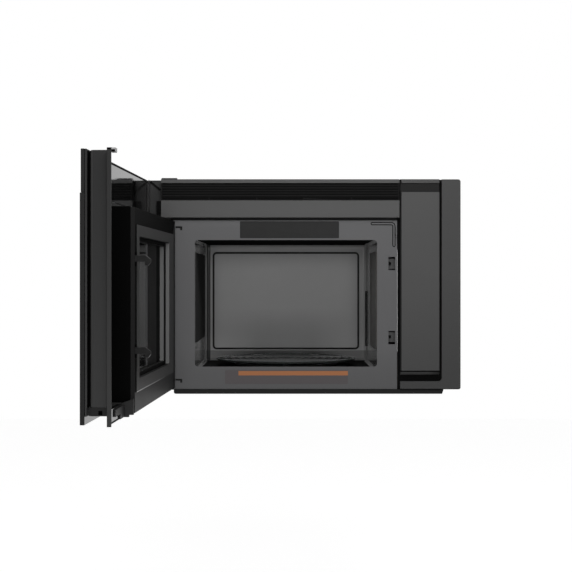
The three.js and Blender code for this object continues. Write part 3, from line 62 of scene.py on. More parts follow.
eye = bpy.data.cameras.new("eye")
eye.sensor_width = 36
eye.lens = FOCAL / PICTURE * eye.sensor_width
eye.shift_y = -LIFT / PICTURE
camera = bpy.data.objects.new("camera", eye)
camera.location = (-0.0353, FACE_Y - 2.324, UNDER_Z + 0.2201)
camera.rotation_euler = (pi / 2, 0, 0)
bpy.context.scene.collection.objects.link(camera)
bpy.context.scene.camera = camera
bpy.context.scene.view_settings.view_transform = "Standard"


def soft_box(name, place, aim, width, height, watts):
    """A lamp that lights the object, but isn't mirrored in it."""
    lamp = bpy.data.lights.new(name, "AREA")
    lamp.shape = "RECTANGLE"
    lamp.size, lamp.size_y = width, height
    lamp.energy = watts
    holder = bpy.data.objects.new(name, lamp)
    holder.location = place
    holder.rotation_euler = (Vector(aim) - Vector(place)).to_track_quat("-Z", "Y").to_euler()
    holder.visible_glossy = False
    bpy.context.scene.collection.objects.link(holder)


soft_box("front_box", (0.0, -3.4, 0.35), (0, FACE_Y, 0.1), 1.2, 0.8, 36)
soft_box("top_box", (0.15, -1.2, 1.05), (0, FACE_Y, 0.14), 1.0, 0.5, 11)


class Wire:
    """The output of a shader node. Arithmetic and comparisons with it add Math nodes."""

    def __init__(self, tree, socket):
        self.tree = tree
        self.socket = socket

    def _math(self, operation, first, second):
        step = self.tree.nodes.new("ShaderNodeMath")
        step.operation = operation
        for place, value in zip(step.inputs, (first, second)):
            if isinstance(value, Wire):
                self.tree.links.new(value.socket, place)
            else:
                place.default_value = value
        return Wire(self.tree, step.outputs[0])

    def __add__(self, other):
        return self._math("ADD", self, other)

    def __radd__(self, other):
        return self._math("ADD", other, self)

    def __sub__(self, other):
        return self._math("SUBTRACT", self, other)

    def __rsub__(self, other):
        return self._math("SUBTRACT", other, self)

    def __mul__(self, other):
        return self._math("MULTIPLY", self, other)

    def __rmul__(self, other):
        return self._math("MULTIPLY", other, self)

    def __gt__(self, other):
        return self._math("GREATER_THAN", self, other)

    def __lt__(self, other):
        return self._math("LESS_THAN", self, other)


class Nodes:
    """Adds nodes to one node tree."""

    def __init__(self, tree):
        self.tree = tree

    def add(self, kind, output=0, sockets=(), **settings):
        node = self.tree.nodes.new("ShaderNode" + kind)
        for name, value in settings.items():
            setattr(node, name, value)
        for name, value in dict(sockets).items():
            if isinstance(value, Wire):
                self.tree.links.new(value.socket, node.inputs[name])
            else:
                node.inputs[name].default_value = value
        return Wire(self.tree, node.outputs[output])

    def ramp(self, value, start, end, low=0.0, high=1.0):
        """Runs evenly from low to high while a value goes from start to end."""
        limits = {"From Min": start, "From Max": end, "To Min": low, "To Max": high}
        return self.add("MapRange", 0, {"Value": value, **limits})


# The surroundings: white wherever the camera looks, an even light on everything, and for reflections
# white behind the object and dim behind the camera.
world = bpy.data.worlds.new("studio")
bpy.context.scene.world = world
world.use_nodes = True
sky = Nodes(world.node_tree)
seen = sky.add("LightPath", "Is Camera Ray")
mirrored = sky.add("LightPath", "Is Glossy Ray")
passed = sky.add("LightPath", "Is Transmission Ray")
heading = sky.add("TexCoord", "Generated")
ahead = sky.add("SeparateXYZ", "Y", {"Vector": heading})
behind_object = sky.ramp(ahead, -0.15, 0.3, low=0.1)
even = 0.15
level = even + (mirrored + passed > 0.5) * (behind_object - even)
level = level + (seen > 0.5) * (1.0 - level)
backdrop = world.node_tree.nodes["Background"]
world.node_tree.links.new(level.socket, backdrop.inputs["Strength"])
backdrop.inputs["Color"].default_value = (1, 1, 1, 1)


class Finish(Nodes):
    """A material on the principled shader. place gives a point of the surface in metres."""

    def __init__(self, name, colour, roughness, **numbers):
        self.material = bpy.data.materials.new(name)
        self.material.use_nodes = True
        super().__init__(self.material.node_tree)
        self.shader = self.tree.nodes["Principled BSDF"]
        self.colour = (*colour, 1.0)
        self.roughness = roughness
        self.put("Base Color", self.colour)
        self.put("Roughness", roughness)
        for socket, value in numbers.items():
            self.put(socket.replace("_", " "), value)
        self.place = self.add("TexCoord", "Object")

    def put(self, socket, value):
        place = self.shader.inputs[socket]
        if isinstance(value, Wire):
            self.tree.links.new(value.socket, place)
        else:
            place.default_value = value

    def noise(self, scale, stretch=(1, 1, 1), detail=3.0):
        point = self.add("Mapping", 0, {"Vector": self.place, "Scale": stretch})
        return self.add("TexNoise", 0, {"Vector": point, "Scale": scale, "Detail": detail})

    def blend(self, factor, first, second):
        return self.add("Mix", 2, {0: factor, 6: first, 7: second}, data_type="RGBA")

    def relief(self, height, depth):
        self.put("Normal", self.add("Bump", 0, {"Height": height, "Distance": depth, "Strength": 1.0}))

    def vary(self, pattern, colour, roughness):
        """Lets a pattern turn the colour darker and lighter by a share, and the roughness by an amount."""
        dark = tuple(c * (1 - colour) for c in self.colour[:3]) + (1.0,)
        light = tuple(c * (1 + colour) for c in self.colour[:3]) + (1.0,)
        self.put("Base Color", self.blend(pattern, dark, light))
        self.put("Roughness", self.roughness + (pattern - 0.5) * (2 * roughness))

    def grade(self, share, first, second):
        """Lets the colour run from one to another while a share goes from 0 to 1."""
        self.put("Base Color", self.blend(share, (*first, 1), (*second, 1)))

    def cover(self, share, colour):
        """Lays a colour over the one that the finish has so far, by a share from 0 to 1."""
        usual = Wire(self.tree, self.shader.inputs["Base Color"].links[0].from_socket)
        self.put("Base Color", self.blend(share, usual, (*colour, 1)))

    def along(self, axis):
        """Where a point of the surface lies along X, Y or Z."""
        return self.add("SeparateXYZ", axis, {"Vector": self.place})


def tone(red, green=None, blue=None):
    """A shade as a screen shows it, from 0 to 1, turned into the light that it reflects."""
    shades = (red, red if green is None else green, red if blue is None else blue)
    return tuple(c / 12.92 if c <= 0.04045 else ((c + 0.055) / 1.055) ** 2.4 for c in shades)


FLOOR_Z = -0.62
FLOOR_GLOW = 0.85  # what makes the pale floor look white

floor_form = bmesh.new()
bmesh.ops.create_grid(floor_form, x_segments=4, y_segments=4, size=4.0,
                      matrix=Matrix.Translation((0, 0, FLOOR_Z)))
floor_mesh = bpy.data.meshes.new("floor")
floor_form.to_mesh(floor_mesh)
floor_form.free()
floor = bpy.data.objects.new("floor", floor_mesh)
bpy.context.scene.collection.objects.link(floor)

# The floor glows where the camera sees it. Where the object mirrors it, the glow fades out towards the front.
pale = Finish("pale_floor", (0.62, 0.62, 0.62), 0.9)
looked_at = pale.add("LightPath", "Is Camera Ray") + pale.add("LightPath", "Is Transmission Ray")
far_floor = pale.ramp(pale.along("Y"), -0.9, 0.0, high=FLOOR_GLOW)
strength = (looked_at > 0.5) * FLOOR_GLOW + pale.add("LightPath", "Is Glossy Ray") * far_floor
glow = pale.add("Emission", 0, {"Color": (1, 1, 1, 1), "Strength": strength})
base = Wire(pale.tree, pale.shader.outputs[0])
shown = pale.add("AddShader", 0, {0: base, 1: glow})
pale.tree.links.new(shown.socket, pale.tree.nodes["Material Output"].inputs["Surface"])
floor_mesh.materials.append(pale.material)

# ---- Case ------------------------------------------------------------------------------------------
# The case is pressed slate-finished steel over a zinc-plated back and a black enamelled base.
# Each bent or moulded piece gets the small soft edge that a press, a bender or a mould leaves on it.

slot_of = {part["node"]: part["material_slot"] for part in frame["record"]["subparts"]}
body_of = {name: body for body, names in frame["record"]["behaviour"]["bodies"].items() for name in names}


def finished(name, mesh, finish, body, slot, *stands_for):
    """A mesh as a piece of the object."""
    piece = bpy.data.objects.new(name, mesh)
    bpy.context.scene.collection.objects.link(piece)
    for look in finish if isinstance(finish, list) else [finish]:
        mesh.materials.append(look.material)
    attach(piece, body)
    if stands_for:
        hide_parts(*stands_for)
    return piece


def weigh_corners(piece):
    """Keeps wide faces flat in shade beside their rounded edges."""
    weights = piece.modifiers.new("flat_faces", "WEIGHTED_NORMAL")
    weights.keep_sharp = True
    weights.weight = 90


def joined(name):
    """A copy of a node's triangles, joined into faces."""
    form = bmesh.new()
    form.from_mesh(frame["nodes"][name].data)
    bmesh.ops.remove_doubles(form, verts=form.verts[:], dist=2e-6)
    bmesh.ops.dissolve_limit(form, angle_limit=radians(1.5), verts=form.verts[:], edges=form.edges[:])
    return form


def soften(form, width, segments, corner=32):
    """Rounds every edge that turns more than corner degrees."""
    edges = [e for e in form.edges if len(e.link_faces) == 2 and e.calc_face_angle(0) > radians(corner)]
    bmesh.ops.bevel(form, geom=edges, offset=width, offset_type="OFFSET", segments=segments, profile=0.5,
                    affect="EDGES", clamp_overlap=True, material=-1)


def smooth_mesh(form, name, corner=50):
    """The mesh of a form, shaded smooth but for the edges that turn more than corner degrees."""
    mesh = bpy.data.meshes.new(name)
    form.to_mesh(mesh)
    form.free()
    mesh.polygons.foreach_set("use_smooth", [True] * len(mesh.polygons))
    mesh.set_sharp_from_angle(angle=radians(corner))
    return mesh


def score(form, point, across):
    """Divides the faces along a plane, so that a finish can end there."""
    geometry = form.verts[:] + form.edges[:] + form.faces[:]
    bmesh.ops.bisect_plane(form, geom=geometry, dist=1e-6, plane_co=point, plane_no=across)


def formed(name, finish, width, segments=2, paint=None, levels=(), cuts=()):
    """A node as it is seen: the same solid with soft edges, in its finish.

    paint says which finish a face has, and a finish can end at a level or a cut.
    """
    form = joined(name)
    for point, across in [((0, 0, level), (0, 0, 1)) for level in levels] + list(cuts):
        score(form, point, across)
    soften(form, width, segments)
    if paint:
        for face in form.faces:
            face.material_index = paint(face)
    seen_name = name + "_seen"
    mesh = smooth_mesh(form, seen_name)
    weigh_corners(finished(seen_name, mesh, finish, body_of[name], slot_of[name], name))


def painted(name, finish):
    """A node that stays as it is, in its finish."""
    mesh = frame["nodes"][name].data
    mesh.materials.clear()
    mesh.materials.append(finish.material)


def slate_sheet(name, colour, roughness, stretch=(1, 1, 1)):
    """Slate-finished steel: a fine grain along the sheet and a slow cloudiness."""
    look = Finish(name, colour, roughness, Metallic=0.15)
    grain = look.noise(900, stretch, 2.0)
    cloud = look.noise(7, detail=2.0)
    look.vary(grain * 0.6 + cloud * 0.4, 0.07, 0.05)
    look.relief(grain, 0.00002)
    return look


def plated(name, colour, roughness):
    """Zinc-plated sheet, with the broken crystals of the plating."""
    look = Finish(name, colour, roughness, Metallic=0.85)
    crystals = look.add("TexVoronoi", "Color", {"Vector": look.place, "Scale": 160.0})
    shade = look.add("SeparateColor", 0, {"Color": crystals})
    look.vary(shade * 0.5 + look.noise(30) * 0.5, 0.12, 0.1)
    return look


def enamel(name, colour, roughness):
    """Baked enamel with fine specks and a faint orange-peel skin."""
    look = Finish(name, colour, roughness, Coat_Weight=0.35, Coat_Roughness=0.12)
    peel = look.noise(420, detail=1.0)
    look.vary(look.noise(1600, detail=1.0) * 0.5 + look.noise(12) * 0.5, 0.1, 0.04)
    look.relief(peel, 0.00001)
    return look


def moulded(name, colour, roughness, grain=0.00003):
    """Moulded plastic with the fine grain of an etched mould."""
    look = Finish(name, colour, roughness)
    pits = look.noise(1300, detail=2.0)
    look.vary(pits * 0.5 + look.noise(15) * 0.5, 0.08, 0.06)
    look.relief(pits, grain)
    return look


def darker_below(look, top, foot, share):
    """Darkens a finish evenly from one height down to another, as the light falls off towards the foot."""
    look.cover(look.ramp(look.along("Z"), UNDER_Z + top, UNDER_Z + foot, high=share), (0, 0, 0))


case_slate = slate_sheet("case_slate", tone(0.30), 0.42, (1, 0.05, 1))
zinc = plated("zinc_sheet", (0.42, 0.43, 0.45), 0.38)
black_enamel = enamel("black_enamel", tone(0.05), 0.6)
black_enamel.put("Coat Weight", 0.0)
black_enamel.put("Specular IOR Level", 0.1)
notch_slate = slate_sheet("notch_slate", tone(0.235), 0.5)

formed("wrap_cover", case_slate, 0.0004)
formed("rear_panel", zinc, 0.0002)
formed("base_pan", black_enamel, 0.0003)
formed("corner_bulkhead", notch_slate, 0.0003)
# Painted shade: the right bulkhead is black, as the shade seen through the gaps beside the right column.
formed("right_bulkhead", black_enamel, 0.0003)
formed("wall_plate", zinc, 0.0003)

# Black moulded plastic. It also makes the painted shade strip along the corner's fold.
black_moulding_and_shade = moulded("black_moulding_and_shade", tone(0.05), 0.5)
formed("corner_block", black_moulding_and_shade, 0.0006)

# A thin black strip along the fold that slants down across the corner is painted shade, standing in for the
# fold's shadow.
fold_thick = 0.0002
fold_wide = 0.0036
corner_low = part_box("corner_bulkhead")[0]
fold_start = Vector((corner_low.x + 0.0005, corner_low.y, UNDER_Z + 0.4137))
fold_end = Vector((-0.2812, corner_low.y, UNDER_Z + 0.3968))
fold = fold_end - fold_start
fold_middle = (fold_start + fold_end) / 2 + Vector((0, -fold_thick / 2, 0))
fold_line = bmesh.new()
bmesh.ops.create_cube(fold_line, size=1.0, matrix=Matrix.LocRotScale(
    fold_middle, fold.to_track_quat("X", "Z"), (fold.length, fold_thick, fold_wide)))
finished("fold_shade_strip", smooth_mesh(fold_line, "fold_shade_strip"), black_moulding_and_shade, "cabinet", slot_of["corner_block"])
formed("cord_gland", black_moulding_and_shade, 0.0006)

# ---- Grille and trim band --------------------------------------------------------------------------
# The exhaust grille is one black moulding whose top lip is finished like the case.
# Below it a folded slate band closes the front down to the oven's plate.

lip_z = UNDER_Z + 0.4087
case_top = UNDER_Z + 0.416
band_slate = slate_sheet("band_slate", tone(0.329), 0.4, (0.05, 1, 1))
grille_black = moulded("grille_black", tone(0.12), 0.6)
grille_black.put("Specular IOR Level", 0.1)
formed("top_grille", [grille_black, band_slate], 0.0003, levels=(lip_z, case_top),
       paint=lambda face: int(lip_z + 0.0001 < face.calc_center_median().z < case_top + 0.0001))
formed("grille_trim", band_slate, 0.0006)

# ---- Right column ----------------------------------------------------------------------------------
# A moulded panel with a sunk band at its top, painted dark as shade, and a foot that curves inwards, beside
# an outer frame that closes the column below. Both carry the slate finish. A black moulded strip runs below
# them and the oven's plate.

column_slate = slate_sheet("column_slate", tone(0.315), 0.45, (1, 1, 0.05))
frame_slate = slate_sheet("frame_slate", tone(0.285), 0.45, (1, 1, 0.05))
darker_below(column_slate, top=0.2, foot=0.05, share=0.2)
darker_below(frame_slate, top=0.2, foot=0.02, share=0.18)
column_shade = moulded("column_shade", tone(0.145), 0.6)
# Black for the seam above the column's foot, and painted shade on the foot's curl, the frame's bottom edge
# and the outline pressed into the front plate.
seam_and_shade_black = moulded("seam_and_shade_black", tone(0.025), 0.7)
for dark in (column_shade, seam_and_shade_black):
    dark.put("Specular IOR Level", 0.15)
foot_shade = moulded("foot_shade", tone(0.2), 0.6)
foot_shade.grade(foot_shade.ramp(foot_shade.along("X"), 0.240, 0.260), tone(0.18), tone(0.04))
band_top = UNDER_Z + 0.4087
band_low = UNDER_Z + 0.3912
band_front = FACE_Y - 0.0045
foot_top = UNDER_Z + 0.0455
foot_seam = UNDER_Z + 0.0431
foot_curl = UNDER_Z + 0.0355
foot_front = FACE_Y - 0.0079
column_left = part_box("right_inset_panel")[0].x
side_width = 0.0034


def column_paint(face):
    """The sunk band and the rounded side are painted dark as shade. The foot's seam is black, a dark groove
    with painted shadow, and its curl is painted in shade.
    """
    middle = face.calc_center_median()
    if middle.z < foot_seam:
        return 3 if middle.z > foot_curl else 2
    if middle.z < foot_top + 0.0001 and middle.y > foot_front:
        return 2
    rounded_side = middle.x < column_left + side_width and face.normal.x < -0.35
    in_band = band_low - 0.0003 < middle.z < band_top + 0.0003 and middle.y < band_front
    return int(rounded_side or in_band)


formed("right_inset_panel", [column_slate, column_shade, seam_and_shade_black, foot_shade], 0.0004, paint=column_paint,
       levels=(band_low, band_top, foot_top, foot_seam, foot_curl))
# The frame's bottom edge is painted black as shade.
frame_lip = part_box("right_frame")[0].z + 0.0012
formed("right_frame", [frame_slate, seam_and_shade_black], 0.0006, levels=(frame_lip,),
       paint=lambda face: int(face.calc_center_median().z < frame_lip - 0.0001))
strip_black = moulded("strip_black", tone(0.13), 0.5)
strip_black.put("Specular IOR Level", 0.2)
formed("bottom_trim", strip_black, 0.0008)

# ---- Front plate -----------------------------------------------------------------------------------
# The plate round the oven's mouth is steel sheet painted grey, punched for the latches and the hinges.
# Two plain plates are stuck to it, one dark and one with a coloured strip. Both are bare.


def powder_coat(name, colour, roughness):
    """Powder coat with a fine pebbled skin."""
    look = Finish(name, colour, roughness)
    skin = look.noise(1100, detail=2.0)
    look.vary(skin * 0.5 + look.noise(5) * 0.5, 0.06, 0.05)
    look.relief(skin, 0.00002)
    return look


plate_grey = powder_coat("plate_grey", tone(0.352, 0.352, 0.356), 0.42)
# Painted shade: the plate's top margin behind the trim band is painted nearly black.
margin_shade = plate_grey.along("Z") > UNDER_Z + 0.3366  # in the dark behind the trim band
plate_grey.cover(margin_shade, (0.004, 0.004, 0.004))
darker_below(plate_grey, top=0.09, foot=0.03, share=0.13)
outline_left = 0.126
outline_low = UNDER_Z + 0.281


def pressed_line(face):
    """The sunk outline beside the mouth's top right corner, painted black as its shade."""
    middle = face.calc_center_median()
    sunk = FACE_Y + 0.0001 < middle.y < FACE_Y + 0.0007
    return int(sunk and middle.x > outline_left and middle.z > outline_low)


formed("front_plate", [plate_grey, seam_and_shade_black], 0.0002, paint=pressed_line)


def stuck_plate(name, finish, x, z):
    """A thin sticker on the front plate, with rounded corners."""
    form = bmesh.new()
    thick = 0.00025
    corner_radius = 0.0015
    size = (x[1] - x[0], thick, z[1] - z[0])
    middle = ((x[0] + x[1]) / 2, FACE_Y - thick / 2, UNDER_Z + (z[0] + z[1]) / 2)
    bmesh.ops.create_cube(form, size=1.0, matrix=Matrix.LocRotScale(middle, None, size))
    corners = [e for e in form.edges if abs(e.verts[0].co.y - e.verts[1].co.y) > thick / 2]
    bmesh.ops.bevel(form, geom=corners, offset=corner_radius, offset_type="OFFSET", segments=4, profile=0.5,
                    affect="EDGES", material=-1)
    finished(name, smooth_mesh(form, name), finish, "cabinet", "plate_paint")


dark_sticker = Finish("dark_sticker", tone(0.175), 0.5, Specular_IOR_Level=0.2)
dark_sticker.vary(dark_sticker.noise(60), 0.1, 0.04)
stuck_plate("upper_bare_plate", dark_sticker, x=(-0.1247, 0.0677), z=(0.302, 0.335))

striped_sticker = Finish("striped_sticker", tone(0.33, 0.315, 0.32), 0.38)
strip_left = -0.1276
strip_low = UNDER_Z + 0.0356
strip_top = UNDER_Z + 0.0441
height = striped_sticker.along("Z")
strip = (striped_sticker.along("X") > strip_left) * (height > strip_low) * (height < strip_top)
striped_sticker.grade(strip, tone(0.31, 0.295, 0.30), tone(0.59, 0.39, 0.26))
striped_sticker.put("Roughness", 0.36 + striped_sticker.noise(80) * 0.06)
stuck_plate("lower_bare_plate", striped_sticker, x=(-0.1538, 0.085), z=(0.019, 0.046))

# ---- Oven ------------------------------------------------------------------------------------------
# The oven is one welded steel box in glossy grey enamel, with a groove pressed into its back and wall
# covers of dark glass fibre on the left and mica on the right.

oven_enamel = Finish("oven_enamel", tone(0.59), 0.22, Coat_Weight=0.6, Coat_Roughness=0.08)
fleck = oven_enamel.noise(1500, detail=1.0)
oven_enamel.vary(fleck * 0.5 + oven_enamel.noise(9) * 0.5, 0.1, 0.04)
oven_enamel.relief(oven_enamel.noise(700, detail=1.0), 0.000002)

# Painted shade: the enamel is darkened in the folds at the back's two ends and below its groove, and a
# painted shadow of the tray darkens the back's lower middle.
OVEN_MIDDLE = -0.0355
OVEN_LEFT = OVEN_MIDDLE - 0.177
OVEN_RIGHT = OVEN_MIDDLE + 0.177
OVEN_BACK = FACE_Y + 0.306
back_part = OVEN_BACK - 0.006
left_fold_start = OVEN_LEFT + 0.0033
left_fold_end = OVEN_LEFT + 0.0111
right_wall = OVEN_RIGHT - 0.003
right_fold_start = FACE_Y + 0.266
right_fold_low = UNDER_Z + 0.076
right_fold_top = UNDER_Z + 0.197
groove_low = UNDER_Z + 0.0665
oven_x = oven_enamel.along("X")
oven_y = oven_enamel.along("Y")
oven_z = oven_enamel.along("Z")
left_fold = (oven_x > left_fold_start) * (oven_x < left_fold_end) * (oven_y > back_part)
right_fold = (oven_x > right_wall) * (oven_y > right_fold_start)
right_fold = right_fold * (oven_z > right_fold_low) * (oven_z < right_fold_top)
below_groove = (oven_z < groove_low) * (oven_y > back_part)
off_centre = oven_enamel.add("Math", 0, {0: oven_x - OVEN_MIDDLE}, operation="ABSOLUTE")
tray_shade = oven_enamel.ramp(oven_z, UNDER_Z + 0.16, UNDER_Z + 0.07)
tray_shade = tray_shade * oven_enamel.ramp(off_centre, 0.17, 0.06)
oven_enamel.cover(tray_shade * 0.42 + below_groove * 0.45, tone(0.1))
oven_enamel.cover(left_fold * 0.85 + right_fold, tone(0.03))
groove_black = enamel("groove_black", tone(0.03), 0.5)
oven_shade = enamel("oven_shade", tone(0.14), 0.6)
oven_shade.put("Coat Weight", 0.0)
oven_shade.put("Specular IOR Level", 0.0)


def liner_paint(face):
    """The groove's floor is black, and the oven's ceiling and floor are painted dark as shade."""
    middle = face.calc_center_median()
    in_oven = FACE_Y + 0.004 < middle.y < OVEN_BACK and abs(middle.x - OVEN_MIDDLE) < 0.17
    if in_oven and abs(face.normal.z) > 0.9:
        return 2
    groove = OVEN_BACK - 0.0009 < middle.y < OVEN_BACK + 0.0008
    return int(groove and OVEN_LEFT + 0.001 < middle.x < OVEN_RIGHT - 0.001)


formed("cavity_liner", [oven_enamel, groove_black, oven_shade], 0.0004, paint=liner_paint)

cover_dark = Finish("cover_dark", tone(0.26), 0.6, Specular_IOR_Level=0.0)
cover_dark.vary(cover_dark.noise(40), 0.15, 0.05)
formed("wall_cover", cover_dark, 0.0002)

mica = Finish("mica_sheet", tone(0.365, 0.36, 0.35), 0.4)
mica.vary(mica.noise(70, (1, 0.25, 1), 4.0), 0.2, 0.08)
formed("waveguide_cover", mica, 0.0002)

# ---- Turntable -------------------------------------------------------------------------------------
# A pressed glass tray sits on a three-winged hub, which turns it, and runs on three wheels.
# A moulded ring holds the wheels apart and rolls round with them.

tray_glass = Finish("tray_glass", (0.3, 0.33, 0.33), 0.04, Transmission_Weight=0.92, IOR=1.5)
spindle = Vector((OVEN_MIDDLE, FACE_Y + 0.1525, 0))
hub_edge = 0.02
tray_edge = 0.13
ripple_rate = 420.0  # in radians to the metre
centred = tray_glass.add("Mapping", 0, {"Vector": tray_glass.place, "Location": -spindle})
flat = tray_glass.add("VectorMath", 0, {0: centred, 1: (1, 1, 0)}, operation="MULTIPLY")
reach = tray_glass.add("VectorMath", 1, {0: flat}, operation="LENGTH")
waves = tray_glass.add("Math", 0, {0: reach * ripple_rate}, operation="SINE")
tray_glass.relief(waves * (reach > hub_edge) * (reach < tray_edge), 0.00003)
formed("glass_tray", tray_glass, 0.0003)

# Painted shade: the hub, the wheel ring and the wheels are painted dark, as the shade under the tray.
under_tray_shade = moulded("under_tray_shade", tone(0.12), 0.5)
formed("drive_coupler", under_tray_shade, 0.0004)
formed("roller_ring", under_tray_shade, 0.0004)
for i in (1, 2, 3):
    formed(f"roller_{i}", under_tray_shade, 0.0006)

# ---- Underside -------------------------------------------------------------------------------------
# Two framed aluminium mesh filters lie on the lips of their openings in the base.
# A ribbed clear lens hangs on its hinge in front of them, under the lamp's moulded housing.

mesh_look = Finish("filter_mesh", (0.56, 0.57, 0.58), 0.35, Metallic=0.9)
slant = mesh_look.add("Mapping", 0, {
    "Vector": mesh_look.place, "Rotation": (0, 0, radians(45)), "Scale": (1, 1, 0)})
wires_x = mesh_look.add("TexWave", 1, {"Vector": slant, "Scale": 38.0}, bands_direction="X")
wires_y = mesh_look.add("TexWave", 1, {"Vector": slant, "Scale": 38.0}, bands_direction="Y")
net = wires_x * wires_y
mesh_look.vary(net, 0.35, 0.08)
mesh_look.relief(net, 0.0006)
rim_look = Finish("filter_rim", (0.56, 0.57, 0.58), 0.3, Metallic=0.9)
rim_look.vary(rim_look.noise(400, (0.1, 1, 1)), 0.08, 0.06)


def filter_field(node_name):
    """Tells the mesh field of a filter from its rim."""
    low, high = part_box(node_name)
    rim = 0.009

    def choose(face):
        middle = face.calc_center_median()
        inside = low.x + rim < middle.x < high.x - rim and low.y + rim < middle.y < high.y - rim
        return int(inside and abs(face.normal.z) > 0.9)

    return choose


for name in ("grease_filter_left", "grease_filter_right"):
    formed(name, [rim_look, mesh_look], 0.0004, paint=filter_field(name))

lens = Finish("lamp_lens", (0.8, 0.82, 0.84), 0.35, Transmission_Weight=0.6, IOR=1.46)
ribs = lens.add("TexWave", 1, {"Vector": lens.place, "Scale": 60.0}, bands_direction="X")
lens.relief(ribs, 0.0003)
lens.put("Roughness", 0.3 + ribs * 0.1)
formed("lamp_cover", lens, 0.0003)
painted("lamp_housing", moulded("lamp_moulding", tone(0.78), 0.4))

# ---- Inner parts -----------------------------------------------------------------------------------
# The case hides the microwave source and its fan, the power parts and the vent blower.
# Most keep their plain solids, each in the finish that it has in the trade. The door switches sit on a
# moulded bracket behind the latch slots.

inner_steel = plated("inner_steel", (0.5, 0.51, 0.53), 0.35)
cast_fins = plated("fin_metal", (0.6, 0.61, 0.63), 0.4)
dark_coat = enamel("dark_coat", tone(0.16), 0.4)
fan_plastic = moulded("fan_plastic", tone(0.82), 0.4)
scroll_plastic = moulded("scroll_plastic", tone(0.4), 0.5)
switch_plastic = moulded("switch_plastic", tone(0.4), 0.45)
for name in ("waveguide", "turntable_motor"):
    painted(name, inner_steel)
for name in ("magnetron", "capacitor"):
    painted(name, cast_fins)
for name in ("fan_shroud", "fan_blade"):
    painted(name, fan_plastic)
painted("blower_housing", scroll_plastic)
painted("blower_wheels", black_moulding_and_shade)
painted("vent_motor", dark_coat)

laminations = Finish("laminated_iron", tone(0.38, 0.30, 0.24), 0.5, Metallic=0.4)
sheets = laminations.add("TexWave", 1, {"Vector": laminations.place, "Scale": 260.0}, bands_direction="X")
laminations.vary(sheets, 0.3, 0.1)
laminations.relief(sheets, 0.0002)
painted("transformer", laminations)
painted("fan_motor", laminations)


def circuit_board(name, mask_colour):
    """Solder mask over copper tracks, which show as a lighter net."""
    look = Finish(name, mask_colour, 0.35)
    cells = look.add("TexVoronoi", 0, {"Vector": look.place, "Scale": 120.0}, feature="DISTANCE_TO_EDGE")
    tracks = cells < 0.06
    look.vary(tracks, 0.35, 0.05)
    look.relief(tracks, 0.00005)
    return look


green_board = circuit_board("green_board", tone(0.12, 0.36, 0.22))
painted("power_board", green_board)
painted("touch_board", circuit_board("black_board", tone(0.05, 0.09, 0.07)))
painted("noise_filter_board", circuit_board("brown_board", tone(0.42, 0.30, 0.16)))

pad = Finish("charcoal_pad", tone(0.12), 0.9)
pad_grain = pad.noise(300, detail=6.0)
pad.vary(pad_grain, 0.4, 0.05)
pad.relief(pad_grain, 0.001)
painted("charcoal_filter", pad)

# The bracket is painted far paler than its own grey, as the light that reaches it through the latch slots.
formed("interlock_bracket", moulded("bracket_painted_light", tone(0.85), 0.5), 0.0004)
for level_name in ("lower", "upper"):
    formed("door_switch_" + level_name, switch_plastic, 0.0005)
    formed("switch_plunger_" + level_name, black_moulding_and_shade, 0.0004)

# ---- Hinges ----------------------------------------------------------------------------------------
# Two black-coated steel brackets reach out from behind the plate's left edge.
# They carry the pins that the door turns on.

hinge_black = enamel("hinge_black", tone(0.05), 0.5)
for side in ("upper", "lower"):
    formed(side + "_hinge_bracket", hinge_black, 0.0003)

# ---- Door ------------------------------------------------------------------------------------------
# Behind a polished black front glass in two heights sits a black moulded pan. A pressed steel frame with
# a raised field closes the pan on the oven side, round a dark window.

open_angle = radians(92.75)
pin = Vector((-0.267, FACE_Y - 0.020, 0))
shut_turn = Matrix.Rotation(open_angle, 3, "Z")


def shut(point):
    """Where a point of the open door lies when the door is shut, in metres from the front plate's face."""
    return pin + shut_turn @ (point - pin) - Vector((0, FACE_Y, UNDER_Z))


def opened(point):
    """Where a point of the shut door lies when the door is open."""
    return pin + shut_turn.transposed() @ (Vector(point) + Vector((0, FACE_Y, UNDER_Z)) - pin)


door_glass = Finish("door_glass", tone(0.045), 0.06, IOR=1.5)
door_glass.put("Roughness", 0.05 + door_glass.noise(6) * 0.04)
# A painted reflection: the vent pane's back beside the hinges is greyer than the rest.
hinge_reflection_glass = Finish("hinge_reflection_glass", tone(0.13), 0.07, IOR=1.45)
hinge_reflection_glass.put("Roughness", 0.06 + hinge_reflection_glass.noise(6) * 0.04)
ground_edge = Finish("ground_edge", tone(0.15), 0.6, Specular_IOR_Level=0.2)
ground_edge.vary(ground_edge.noise(900), 0.1, 0.05)
door_line = shut_turn.transposed() @ Vector((1, 0, 0))
reflection_patch_end = -0.161
pane_back = -0.0595


def edge_of_pane(face):
    """Only the ground edges."""
    return int(abs((shut_turn @ face.normal).y) < 0.8)


formed("door_front_glass", [door_glass, ground_edge], 0.0006, paint=edge_of_pane)


def vent_pane_paint(face):
    """The ground edges, and the back beside the hinges, painted greyer as a reflection."""
    middle = shut(face.calc_center_median())
    return 1 if edge_of_pane(face) else 2 if middle.x < reflection_patch_end and middle.y > pane_back else 0


formed("door_vent_glass", [door_glass, ground_edge, hinge_reflection_glass], 0.0006, paint=vent_pane_paint,
       cuts=[(opened((reflection_patch_end, 0, 0)), door_line)])

